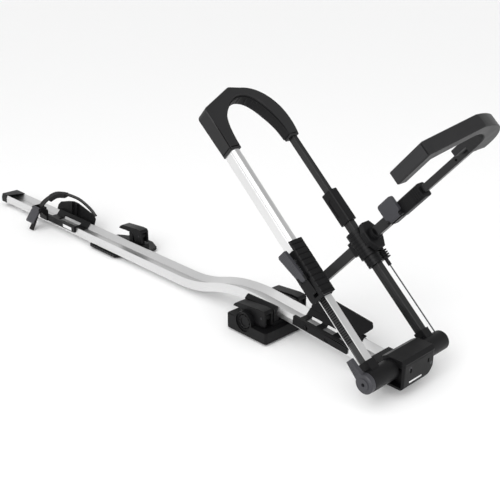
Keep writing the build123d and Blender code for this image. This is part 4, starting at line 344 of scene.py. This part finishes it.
def mapped(tree, value, source, target):
    """A value carried from one range to another, held at both ends."""
    names = ("From Min", "From Max", "To Min", "To Max")
    values = dict(zip(names, (*source, *target)))
    return add_node(tree, "ShaderNodeMapRange", values=values, links={"Value": value}).outputs["Result"]


def bumped(tree, height, strength, depth_mm):
    """A normal that follows a height."""
    values = {"Strength": strength, "Distance": depth_mm * MM}
    return add_node(tree, "ShaderNodeBump", values=values, links={"Height": height}).outputs["Normal"]


def close_material(tree, values, links):
    """Adds the shader with its values and links and joins it to the material's output."""
    shader = add_node(tree, "ShaderNodeBsdfPrincipled", values=values, links=links)
    add_node(tree, "ShaderNodeOutputMaterial", links={"Surface": shader.outputs["BSDF"]})


def moulded_material(name, colour, shade, roughness, grain_mm, depth_mm, level=0.5):
    """A moulded plastic or rubber: a spark-eroded grain, slight mottling of the colour and of the gloss."""
    material, tree = new_material(name)
    place = add_node(tree, "ShaderNodeTexCoord").outputs["Object"]
    grain = noise(tree, place, scale=1 / (grain_mm * MM), detail=2.0, roughness=0.6)
    mottle = noise(tree, place, scale=35.0, detail=4.0)
    links = {
        "Base Color": mixed(tree, mottle, colour, shade),
        "Roughness": mapped(tree, mottle, (0.3, 0.7), (roughness - 0.05, roughness + 0.05)),
        "Normal": bumped(tree, grain, strength=0.6, depth_mm=depth_mm),
    }
    close_material(tree, {"Specular IOR Level": level}, links)
    return material


def metal_material(name, colour, shade, roughness, spread, stretch, depth_mm):
    """A metal with fine lines drawn along one way: stretch gives the lines per metre along X, Y and Z."""
    material, tree = new_material(name)
    place = add_node(tree, "ShaderNodeTexCoord").outputs["Object"]
    along = add_node(tree, "ShaderNodeMapping", values={"Scale": stretch}, links={"Vector": place})
    lines = noise(tree, along.outputs["Vector"], scale=1.0, detail=3.0, roughness=0.55)
    cloud = noise(tree, place, scale=9.0, detail=3.0)
    links = {
        "Base Color": mixed(tree, cloud, colour, shade),
        "Roughness": mapped(tree, lines, (0.25, 0.75), (roughness - spread, roughness + spread)),
        "Normal": bumped(tree, lines, strength=0.35, depth_mm=depth_mm),
    }
    close_material(tree, {"Metallic": 1.0}, links)
    return material


def painted_material(name, colour, shade, roughness, peel_mm, coat):
    """A painted tube: a dark coat with a faint orange peel under a thin clear layer."""
    material, tree = new_material(name)
    place = add_node(tree, "ShaderNodeTexCoord").outputs["Object"]
    peel = noise(tree, place, scale=1 / (peel_mm * MM), detail=1.0)
    cloud = noise(tree, place, scale=20.0, detail=4.0)
    links = {
        "Base Color": mixed(tree, cloud, colour, shade),
        "Roughness": mapped(tree, cloud, (0.3, 0.7), (roughness - 0.04, roughness + 0.04)),
        "Normal": bumped(tree, peel, strength=0.25, depth_mm=0.05),
    }
    close_material(tree, {"Specular IOR Level": 0.3, "Coat Weight": coat, "Coat Roughness": 0.12}, links)
    return material


def new_object(name, data):
    """An object with its data, linked into the scene."""
    made = bpy.data.objects.new(name, data)
    bpy.context.scene.collection.objects.link(made)
    return made


def mesh_from(shape, name):
    """Turns a finished bmesh into a mesh."""
    mesh = bpy.data.meshes.new(name)
    shape.to_mesh(mesh)
    shape.free()
    return mesh


def smooth_shade(mesh):
    """Smooth faces, with sharp edges kept where the surface turns."""
    mesh.shade_smooth()
    mesh.set_sharp_from_angle(angle=radians(SHADE_ANGLE))


def piece_from(shape, name, body, material):
    """Turns a finished bmesh into a piece of the carrier, riding on its body."""
    mesh = mesh_from(shape, name)
    made = new_object(name, mesh)
    mesh.materials.append(material)
    smooth_shade(mesh)
    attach(made, body)
    return made


def merged_copy(node):
    """A CAD node's shape as one joined bmesh, its flat triangles joined into whole faces."""
    shape = bmesh.new()
    shape.from_mesh(NODES[node].data)
    bmesh.ops.remove_doubles(shape, verts=shape.verts, dist=JOIN_DISTANCE * MM)
    bmesh.ops.dissolve_limit(
        shape,
        angle_limit=radians(FLAT_ANGLE),
        verts=shape.verts,
        edges=shape.edges,
        use_dissolve_boundaries=False,
    )
    return shape


def round_sharp(shape, angle, edge, segments):
    """Rounds the edges between two faces that turn by more than the angle, in degrees."""
    sharp = [e for e in shape.edges if len(e.link_faces) == 2 and e.calc_face_angle() > radians(angle)]
    bmesh.ops.bevel(
        shape,
        geom=sharp,
        offset=edge * MM,
        offset_type="OFFSET",
        segments=segments,
        profile=0.5,
        affect="EDGES",
        clamp_overlap=True,
        material=-1,
    )


def rounded_piece(node, edge, material):
    """A CAD node's copy with its sharp edges rounded as the mould leaves them."""
    shape = merged_copy(node)
    round_sharp(shape, MOULD_ANGLE, edge, MOULD_SEGMENTS)
    made = piece_from(shape, node + "_moulded", BODY_OF[node], material)
    weigh = made.modifiers.new("Flat faces stay flat", "WEIGHTED_NORMAL")
    weigh.keep_sharp = True
    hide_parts(node)


def hoop_point(along, across, height):
    """A point of the hoop at rest, in metres, from millimetres along, across and above its arms."""
    return MM * Vector(
        (
            HINGE_X - along * cos(ARM_LIFT) + height * sin(ARM_LIFT),
            across,
            HINGE_Z + along * sin(ARM_LIFT) + height * cos(ARM_LIFT),
        )
    )


def eased(points, share):
    """A point on the smooth curve through a list of points, at a share of the way from first to last."""
    place = share * (len(points) - 1)
    i = min(int(place), len(points) - 2)
    t = place - i
    p0, p1, p2, p3 = (Vector(points[max(0, min(len(points) - 1, i + k))]) for k in (-1, 0, 1, 2))
    return 0.5 * (
        2 * p1 + (p2 - p0) * t + (2 * p0 - 5 * p1 + 4 * p2 - p3) * t**2 + (3 * p1 - p0 - 3 * p2 + p3) * t**3
    )


def swept_shape(stations, corner, segments=32):
    """A band through stations of (centre, across, up, half width, half thickness).

    Both ends are capped. Extruding also leaves a cap inside the band at each station between them.
    """
    shape = bmesh.new()
    bmesh.ops.create_circle(shape, cap_ends=True, radius=1, segments=segments)
    side = shape.verts.layers.float.new("side")
    rise = shape.verts.layers.float.new("rise")
    for vert in shape.verts:
        for layer, value in ((side, vert.co.x), (rise, vert.co.y)):
            vert[layer] = (1 if value >= 0 else -1) * abs(value) ** (2 / corner)
    cap = list(shape.faces)
    for number, (centre, across, up, half_width, half_thick) in enumerate(stations):
        if number:
            grown = bmesh.ops.extrude_face_region(shape, geom=cap)["geom"]
            cap = [e for e in grown if isinstance(e, bmesh.types.BMFace)]
        for vert in {v for face in cap for v in face.verts}:
            vert.co = centre + across * half_width * vert[side] + up * half_thick * vert[rise]
    bmesh.ops.recalc_face_normals(shape, faces=shape.faces)
    return shape


def turned_shape(profile, centre, axis, segments=48):
    """A ring turned round an axis from a closed profile of (radius, height), in metres."""
    shape = bmesh.new()
    grid = bmesh.ops.create_circle(shape, cap_ends=False, radius=1, segments=len(profile))["verts"]
    for vert, (radius, height) in zip(grid, profile):
        vert.co = (radius, 0, height)
    bmesh.ops.spin(
        shape,
        geom=list(shape.verts) + list(shape.edges),
        cent=(0, 0, 0),
        axis=(0, 0, 1),
        angle=2 * pi,
        steps=segments,
        use_merge=True,
    )
    bmesh.ops.remove_doubles(shape, verts=shape.verts, dist=0.001 * MM)
    turn = Vector(axis).to_track_quat("Z", "Y").to_matrix().to_4x4()
    bmesh.ops.transform(shape, matrix=Matrix.Translation(centre) @ turn, verts=shape.verts)
    bmesh.ops.recalc_face_normals(shape, faces=shape.faces)
    return shape


def block_shape(boxes, edge):
    """Small blocks with rounded edges, each a (centre, size) in millimetres."""
    shape = bmesh.new()
    for centre, size in boxes:
        made = bmesh.ops.create_cube(shape, size=MM)["verts"]
        bmesh.ops.scale(shape, vec=size, verts=made)
        bmesh.ops.translate(shape, vec=Vector(centre) * MM, verts=made)
    bmesh.ops.bevel(
        shape,
        geom=shape.edges,
        offset=edge * MM,
        segments=2,
        profile=0.5,
        affect="EDGES",
        material=-1,
    )
    return shape


def domed_pad(node, edge, material):
    """A rubber pad from its CAD node, with its rim rounded until the face is domed."""
    shape = merged_copy(node)
    round_sharp(shape, PAD_ANGLE, edge, PAD_SEGMENTS)
    made = piece_from(shape, node + "_domed", BODY_OF[node], material)
    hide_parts(node)


def strap_place(share):
    """The strap's underside at a share of its way, in millimetres."""
    s, z = eased(STRAP_SHARES, share)
    return Vector(
        (
            STRAP_FOOT[0] + STRAP_SPAN[0] * s,
            STRAP_FOOT[1] + STRAP_SPAN[1] * s**STRAP_BEND,
            STRAP_FOOT_Z + STRAP_RISE * z,
        )
    )


def strap_station(share, lift, half_width, half_thick):
    """A station of the strap: it turns about its length on the way from the wall to the buckle."""
    tangent = (strap_place(min(1, share + WAY_STEP)) - strap_place(max(0, share - WAY_STEP))).normalized()
    turn = radians(STRAP_TURN[0] + (STRAP_TURN[1] - STRAP_TURN[0]) * share)
    across = Vector((cos(turn), sin(turn), 0))
    up = tangent.cross(across).normalized()
    if up.z < 0:
        up.negate()
    across = up.cross(tangent).normalized()
    centre = strap_place(share) + up * lift
    return centre * MM, across, up, half_width * MM, half_thick * MM


def strap_shape():
    """The strap's arch, from a short foot on the far wall to the buckle."""
    half = STRAP_THICK / 2
    stations = [strap_station(step / STRAP_STEPS, half, STRAP_HALF, half) for step in range(STRAP_STEPS + 1)]
    return swept_shape(stations, BAND_SECTION)


def strap_pad_shape():
    """The padded sleeve round the top of the strap, thick below and rounded at both ends."""
    start, end = STRAP_PAD_SPAN
    thick = STRAP_PAD_THICK + STRAP_THICK + STRAP_PAD_RISE
    middle = STRAP_THICK + STRAP_PAD_RISE - thick / 2
    stations = []
    for step in range(STRAP_PAD_STEPS + 1):
        t = step / STRAP_PAD_STEPS
        swell = min(1.0, STRAP_PAD_END_SIZE + STRAP_PAD_SWELL * min(t, 1 - t))
        stations.append(
            strap_station(start + (end - start) * t, middle, STRAP_PAD_HALF * swell, thick / 2 * swell)
        )
    return swept_shape(stations, SLEEVE_SECTION)


def tail_shape():
    """The strap's hanging tail, below the buckle."""
    across = Vector((1, 0, 0))
    stations = []
    for step in range(TAIL_STEPS + 1):
        share = step / TAIL_STEPS
        y, z = eased(TAIL_ROUTE, share)
        y2, z2 = eased(TAIL_ROUTE, min(1, share + WAY_STEP))
        y1, z1 = eased(TAIL_ROUTE, max(0, share - WAY_STEP))
        up = across.cross(Vector((0, y2 - y1, z2 - z1)).normalized())
        stations.append((Vector((TAIL_X, y, z)) * MM, across, up, STRAP_HALF * MM, STRAP_THICK / 2 * MM))
    return swept_shape(stations, BAND_SECTION)


def boot_profile():
    """The boot's section: rounded crests over narrow valleys round its bore."""
    half = BOOT_RINGS * BOOT_PITCH / 2
    outer = []
    for ring in range(BOOT_RINGS):
        low = -half + ring * BOOT_PITCH
        for share, radius in BOOT_RING:
            outer.append((radius * MM, (low + share * BOOT_PITCH) * MM))
    return [(BOOT_BORE * MM, -half * MM), *outer, (BOOT_BORE * MM, half * MM)]


def nut_profile():
    """The nut's section: a flat ring with two grooves round it."""
    low, high = NUT_LOW_N, NUT_HIGH_N
    third = (high - low) / 3
    half = NUT_GROOVE / 2
    floor = NUT_RADIUS - NUT_GROOVE
    outer = [(floor, low), (NUT_RADIUS, low + half)]
    for ring in (1, 2):
        at = low + ring * third
        outer += [(NUT_RADIUS, at - half), (floor, at), (NUT_RADIUS, at + half)]
    outer += [(NUT_RADIUS, high - half), (floor, high)]
    return [(r * MM, h * MM) for r, h in [(NUT_BORE, low), *outer, (NUT_BORE, high)]]


def cord_stations(points, radius):
    """Stations of a thin round cord through points in metres, upright across its way; the cords paint the
    shade of the hook's crease and seams.
    """
    stations = []
    for i, point in enumerate(points):
        way = (points[min(i + 1, len(points) - 1)] - points[max(i - 1, 0)]).normalized()
        up = ARM_UP if abs(way.dot(ARM_UP)) < 0.9 else Vector((0, 1, 0))
        across = way.cross(up).normalized()
        stations.append((point, across, across.cross(way), radius * MM, radius * MM))
    return stations


def squared(value):
    """A cosine or sine pushed outwards, so that a circle turns into a rounded rectangle."""
    return (1 if value >= 0 else -1) * abs(value) ** CUFF_SQUARENESS


def leg_ring(inner_y, outer_y, thick):
    """A rounded loop of points round one leg of the hook, just above its end."""
    along = HOOK_ROOT_A + CUFF_SETBACK
    middle, half = (inner_y + outer_y) / 2, abs(outer_y - inner_y) / 2
    points = []
    for step in range(CUFF_STEPS + 1):
        turn = 2 * pi * step / CUFF_STEPS
        points.append(hoop_point(along, middle + half * squared(cos(turn)), thick / 2 * squared(sin(turn))))
    return points


def hook_crease_shade():
    """Points along the crease of the hook's near face, from its root to its corner, where a dark cord paints
    its shade.
    """
    reach = HOOK_CREASE_END_A - HOOK_ROOT_A
    height = HOOK_THICK / 2 - SHADE_CORD_SINK
    return [
        hoop_point(HOOK_ROOT_A + reach * step / CREASE_STEPS, -HOOK_HALF, height)
        for step in range(CREASE_STEPS + 1)
    ]


class CarrierFinishes(bpy.types.PropertyGroup):
    """Colours of the carrier's finishes."""

    silver: bpy.props.StringProperty(name="Silver", description="Anodised aluminium, hex", default="#E4E4E4")
    tray: bpy.props.StringProperty(name="Tray", description="Anodised tray, hex", default="#E2E2E2")
    black: bpy.props.StringProperty(name="Black", description="Moulded plastic, hex", default="#0D0D0E")
    grey: bpy.props.StringProperty(name="Grey", description="Levers and knob, hex", default="#2F2F33")
    tube: bpy.props.StringProperty(name="Tube", description="Painted tubes, hex", default="#0B0B0C")
    rubber: bpy.props.StringProperty(name="Rubber", description="Pads and strap, hex", default="#0A0A0B")


class CarrierStage(bpy.types.PropertyGroup):
    """Size of the floor and strength of the lights."""

    floor_radius: bpy.props.FloatProperty(
        name="Floor radius", description="Radius of the round floor", default=14.0, unit="LENGTH"
    )
    sun_strength: bpy.props.FloatProperty(
        name="Even light", description="Strength of the wide light", default=1.7
    )
    key_power: bpy.props.FloatProperty(
        name="Key light", description="Power of the large soft light", default=30.0, unit="POWER"
    )


def finishes():
    """Every finish of the carrier, made once, by the record's slot name."""
    made = bpy.data.materials
    if "Anodised extrusion" in made:
        return {m["carrier_slot"]: m for m in made if "carrier_slot" in m}
    colours = bpy.context.scene.carrier_finishes
    table = {
        # Satin anodised aluminium extrusion: soft broad reflections with faint lines along its length.
        "silver_tray": metal_material(
            "Anodised extrusion",
            colours.tray,
            "#D8D8D8",
            roughness=0.34,
            spread=0.05,
            stretch=(3.0, 900.0, 900.0),
            depth_mm=0.02,
        ),
        # Satin anodised arm tube, a touch brighter and finer than the tray.
        "silver_arm": metal_material(
            "Anodised tube",
            colours.silver,
            "#DADADA",
            roughness=0.32,
            spread=0.04,
            stretch=(60.0, 700.0, 60.0),
            depth_mm=0.015,
        ),
        # Glass-filled nylon from a spark-eroded mould: near black, matt, with a fine pebbled grain.
        "black_plastic": moulded_material(
            "Textured nylon",
            colours.black,
            "#121213",
            roughness=0.42,
            grain_mm=0.7,
            depth_mm=0.05,
            level=0.14,
        ),
        # Dark grey nylon of the parts that a hand works, lighter than the black.
        "grey_plastic": moulded_material(
            "Grey nylon", colours.grey, "#38383C", roughness=0.46, grain_mm=0.7, depth_mm=0.04, level=0.35
        ),
        # Acetal of the toothed rack: smoother and glossier than the nylon.
        "rack_plastic": moulded_material(
            "Acetal rack", "#0C0C0D", "#101011", roughness=0.36, grain_mm=0.9, depth_mm=0.02
        ),
        # Powder-coated aluminium tube: a dark satin skin with soft long highlights.
        "black_tube": painted_material(
            "Powder coat", colours.tube, "#0F0F10", roughness=0.36, peel_mm=1.2, coat=0.15
        ),
        # Moulded rubber: duller than plastic, with a dusty sheen.
        "rubber": moulded_material(
            "Moulded rubber", colours.rubber, "#111112", roughness=0.6, grain_mm=0.8, depth_mm=0.05, level=0.2
        ),
        # Soft grained cover of both hooks, with a broad dull sheen. On the rear plate's ribs its lighter
        # colour is a painted highlight.
        "hook_cover_and_rib_highlight": moulded_material(
            "Grained cover", "#141415", "#1A1A1B", roughness=0.48, grain_mm=1.1, depth_mm=0.08, level=0.3
        ),
        # Dry moulded rubber of the second hook's leg: a lighter black without gloss.
        "pad": moulded_material(
            "Dry rubber", "#262627", "#2E2E2F", roughness=0.75, grain_mm=1.0, depth_mm=0.05, level=0.2
        ),
        # Polyurethane strap: the deepest black of the soft pieces, with a satin gloss.
        "strap": moulded_material(
            "Strap urethane", "#060606", "#0A0A0A", roughness=0.45, grain_mm=0.9, depth_mm=0.02, level=0.15
        ),
        # Painted shade for the hook's crease and seam grooves, the housing's recesses and the bar's hole:
        # near black, nearly without reflection.
        "painted_shade": moulded_material(
            "Dark seam", "#030303", "#050505", roughness=0.8, grain_mm=1.0, depth_mm=0.02, level=0.05
        ),
        # Satin foil of the bare plates.
        "label": moulded_material(
            "Satin foil", "#D8D8D9", "#CFCFD0", roughness=0.4, grain_mm=2.0, depth_mm=0.01
        ),
        # Zinc-plated steel, bright with turned lines.
        "steel": metal_material(
            "Zinc plate",
            "#D5D6D8",
            "#BDBEC1",
            roughness=0.26,
            spread=0.06,
            stretch=(500.0, 500.0, 500.0),
            depth_mm=0.01,
        ),
        # Black-oxide steel, dark with a soft metal glint.
        "dark_steel": metal_material(
            "Black oxide",
            "#4A4A4D",
            "#38383A",
            roughness=0.36,
            spread=0.06,
            stretch=(500.0, 500.0, 500.0),
            depth_mm=0.01,
        ),
    }
    for slot, material in table.items():
        material["carrier_slot"] = slot
    return table


class CARRIER_OT_finishes(bpy.types.Operator):
    """Give every CAD node its finish"""

    bl_idname = "carrier.finishes"
    bl_label = "Finishes"

    def execute(self, context):
        table = finishes()
        for slot, names in SLOT_NODES.items():
            for name in names:
                data = NODES[name].data
                data.materials.clear()
                data.materials.append(table[slot])
        return {"FINISHED"}


class CARRIER_OT_moulded_edges(bpy.types.Operator):
    """Round the edges of the moulded pieces"""

    bl_idname = "carrier.moulded_edges"
    bl_label = "Moulded edges"

    def execute(self, context):
        table = finishes()
        for slot, names in SLOT_NODES.items():
            for name in names:
                if name in MOULDED_EDGES:
                    rounded_piece(name, MOULDED_EDGES[name], table[OWN_FINISH.get(name, slot)])
        return {"FINISHED"}


class CARRIER_OT_rubber(bpy.types.Operator):
    """Model the rubber pads, the boot, the strap and its sleeve"""

    bl_idname = "carrier.rubber"
    bl_label = "Rubber"

    def execute(self, context):
        table = finishes()
        rubber = table["rubber"]
        for node, edge in PAD_EDGES.items():
            domed_pad(node, edge, table["pad"] if node == "second_hook_pad" else rubber)
        strap = piece_from(strap_shape(), "strap_arch", BODY_OF["holder_strap"], table["strap"])
        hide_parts("holder_strap")
        piece_from(tail_shape(), "strap_tail", BODY_OF["holder_strap"], table["strap"])
        sleeve = piece_from(strap_pad_shape(), "strap_sleeve", BODY_OF["strap_pad"], rubber)
        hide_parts("strap_pad")
        low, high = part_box("rod_boot")
        boot = turned_shape(boot_profile(), (low + high) / 2, ARM_WAY)
        made = piece_from(boot, "boot_bellows", BODY_OF["rod_boot"], rubber)
        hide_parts("rod_boot")
        return {"FINISHED"}


class CARRIER_OT_details(bpy.types.Operator):
    """Add the painted shade of the hook's crease and seams, the round nut, the ribs with a painted highlight,
    the painted shade of the housing's recesses and the bar's hole, and the bare plates
    """

    bl_idname = "carrier.details"
    bl_label = "Details"

    def execute(self, context):
        table = finishes()
        # Dark cords of painted shade along the hook's crease and round its legs at the seams.
        painted_shade_cords = {
            "hook_crease_shade": hook_crease_shade(),
            "near_cuff_seam_shade": leg_ring(NEAR_LEG_INNER_Y, -HOOK_HALF, HOOK_THICK),
            "far_cuff_seam_shade": leg_ring(FAR_LEG_INNER_Y, FAR_LEG_OUTER_Y, FAR_LEG_THICK),
        }
        for name, points in painted_shade_cords.items():
            shape = swept_shape(cord_stations(points, SHADE_CORD_RADIUS), ROUND_SECTION, SHADE_CORD_SEGMENTS)
            piece_from(shape, name, BODY_OF["front_hook"], table["painted_shade"])
        nut = turned_shape(nut_profile(), hoop_point(CROSS_A, ARM_Y, 0), ARM_UP)
        piece_from(nut, "second_arm_nut", BODY_OF["collar_plate"], table["black_plastic"])
        slots = [(place, SLOT_SIZE) for place in HOUSING_SLOTS]
        ribs = [((RIB_START_X + RIB_PITCH * rib, RIB_Y, RIB_Z), RIB_SIZE) for rib in range(RIB_COUNT)]
        blocks = (
            ("holder_plate", "rear_holder", "steel", "label", [HOLDER_LABEL], LABEL_EDGE),
            ("housing_plate", "hinge_housing", "steel", "label", [HOUSING_LABEL], LABEL_EDGE),
            # The housing's recesses and the bar's hole are thin dark sheets of painted shade.
            ("housing_recess_shade", "hinge_housing", "black_plastic", "painted_shade", slots, RECESS_EDGE),
            ("second_bar_hole_shade", "second_bar", "black_plastic", "painted_shade", [BAR_HOLE], RECESS_EDGE),
            # The ribs take the hooks' lighter finish as a painted highlight.
            ("rear_plate_ribs", "rear_bracket_plate", "black_plastic", "hook_cover_and_rib_highlight", ribs, RIB_EDGE),
        )
        for name, node, slot, finish, boxes, edge in blocks:
            piece_from(block_shape(boxes, edge), name, BODY_OF[node], table[finish])
        return {"FINISHED"}


def studio_floor(radius):
    """A round sheet of studio paper just below the carrier."""
    shape = bmesh.new()
    bmesh.ops.create_circle(shape, cap_ends=True, radius=radius, segments=FLOOR_SEGMENTS)
    bmesh.ops.translate(shape, verts=shape.verts, vec=(0, 0, CAD_LOW.z - FLOOR_DROP))
    mesh = mesh_from(shape, "studio_floor")
    floor = new_object("studio_floor", mesh)
    material, tree = new_material("Studio paper")
    place = add_node(tree, "ShaderNodeTexCoord").outputs["Object"]
    fibre = noise(tree, place, scale=400.0, detail=2.0)
    values = {"Base Color": linear(FLOOR_COLOUR), "Roughness": 0.7}
    close_material(tree, values, {"Normal": bumped(tree, fibre, strength=0.1, depth_mm=0.05)})
    mesh.materials.append(material)


def studio_sky():
    """A sky that is brightest at the horizon, as round a studio's white sweep, and dims towards its top."""
    world = bpy.data.worlds.new("Studio")
    bpy.context.scene.world = world
    world.use_nodes = True
    tree = world.node_tree
    tree.nodes.clear()
    way = add_node(tree, "ShaderNodeTexCoord").outputs["Generated"]
    height = add_node(tree, "ShaderNodeSeparateXYZ", links={"Vector": way}).outputs["Z"]
    links = {"Strength": mapped(tree, height, SKY_HEIGHTS, SKY_STRENGTHS)}
    sky = add_node(tree, "ShaderNodeBackground", values={"Color": linear(SKY_COLOUR)}, links=links)
    add_node(tree, "ShaderNodeOutputWorld", links={"Surface": sky.outputs["Background"]})


def soft_light(name, place, aim, size, power):
    """A large square light that looks at a point."""
    data = bpy.data.lights.new(name, "AREA")
    data.shape = "SQUARE"
    data.size = size
    data.energy = power
    made = new_object(name, data)
    made.location = place
    made.rotation_mode = "QUATERNION"
    made.rotation_quaternion = (Vector(aim) - Vector(place)).to_track_quat("-Z", "Y")


def sun_light(name, place, strength):
    """A wide, even light from one side of the sky."""
    data = bpy.data.lights.new(name, "SUN")
    data.energy = strength
    data.angle = radians(SUN_ANGLE)
    made = new_object(name, data)
    made.rotation_mode = "QUATERNION"
    made.rotation_quaternion = Vector(place).to_track_quat("Z", "Y")


def photo_camera():
    """The camera at the photograph's view."""
    camera = new_object("camera", bpy.data.cameras.new("camera"))
    camera.data.lens = CAMERA_LENS
    camera.data.sensor_width = CAMERA_SENSOR
    camera.data.clip_start = CAMERA_NEAR
    camera.data.clip_end = CAMERA_FAR
    axes = Matrix((CAMERA_RIGHT, CAMERA_UP, CAMERA_RIGHT.cross(CAMERA_UP)))
    camera.matrix_world = Matrix.Translation(CAMERA_PLACE) @ axes.transposed().to_4x4()
    bpy.context.scene.camera = camera


class CARRIER_OT_stage(bpy.types.Operator):
    """Add the floor, the soft studio light and the camera at the photograph's view"""

    bl_idname = "carrier.stage"
    bl_label = "Stage"

    def execute(self, context):
        stage = context.scene.carrier_stage
        studio_floor(stage.floor_radius)
        studio_sky()
        sun_light("sky_sun", SUN_PLACE, stage.sun_strength)
        soft_light("key", KEY_PLACE, KEY_AIM, KEY_SIZE, stage.key_power)
        soft_light("fill", FILL_PLACE, FILL_AIM, FILL_SIZE, stage.key_power / KEY_TO_FILL)
        context.scene.view_settings.view_transform = "Standard"
        photo_camera()
        return {"FINISHED"}


class CARRIER_PT_panel(bpy.types.Panel):
    """The carrier's steps, in order"""

    bl_label = "Bike carrier"
    bl_idname = "CARRIER_PT_panel"
    bl_space_type = "VIEW_3D"
    bl_region_type = "UI"
    bl_category = "Carrier"

    def draw(self, context):
        column = self.layout.column()
        for name in ("silver", "tray", "black", "grey", "tube", "rubber"):
            column.prop(context.scene.carrier_finishes, name)
        for name in ("floor_radius", "sun_strength", "key_power"):
            column.prop(context.scene.carrier_stage, name)
        for step in STEPS:
            column.operator(step.bl_idname)


STEPS = (
    CARRIER_OT_finishes,
    CARRIER_OT_moulded_edges,
    CARRIER_OT_rubber,
    CARRIER_OT_details,
    CARRIER_OT_stage,
)
CLASSES = (CarrierFinishes, CarrierStage, *STEPS, CARRIER_PT_panel)


def register():
    """Registers the classes and hangs the settings on the scene."""
    for cls in CLASSES:
        bpy.utils.register_class(cls)
    bpy.types.Scene.carrier_finishes = bpy.props.PointerProperty(type=CarrierFinishes)
    bpy.types.Scene.carrier_stage = bpy.props.PointerProperty(type=CarrierStage)


def unregister():
    """Takes the settings and the classes away again."""
    del bpy.types.Scene.carrier_stage
    del bpy.types.Scene.carrier_finishes
    for cls in reversed(CLASSES):
        bpy.utils.unregister_class(cls)


def main():
    register()
    for step in STEPS:
        group, name = step.bl_idname.split(".")
        getattr(getattr(bpy.ops, group), name)()


if __name__ == "__main__":
    main()
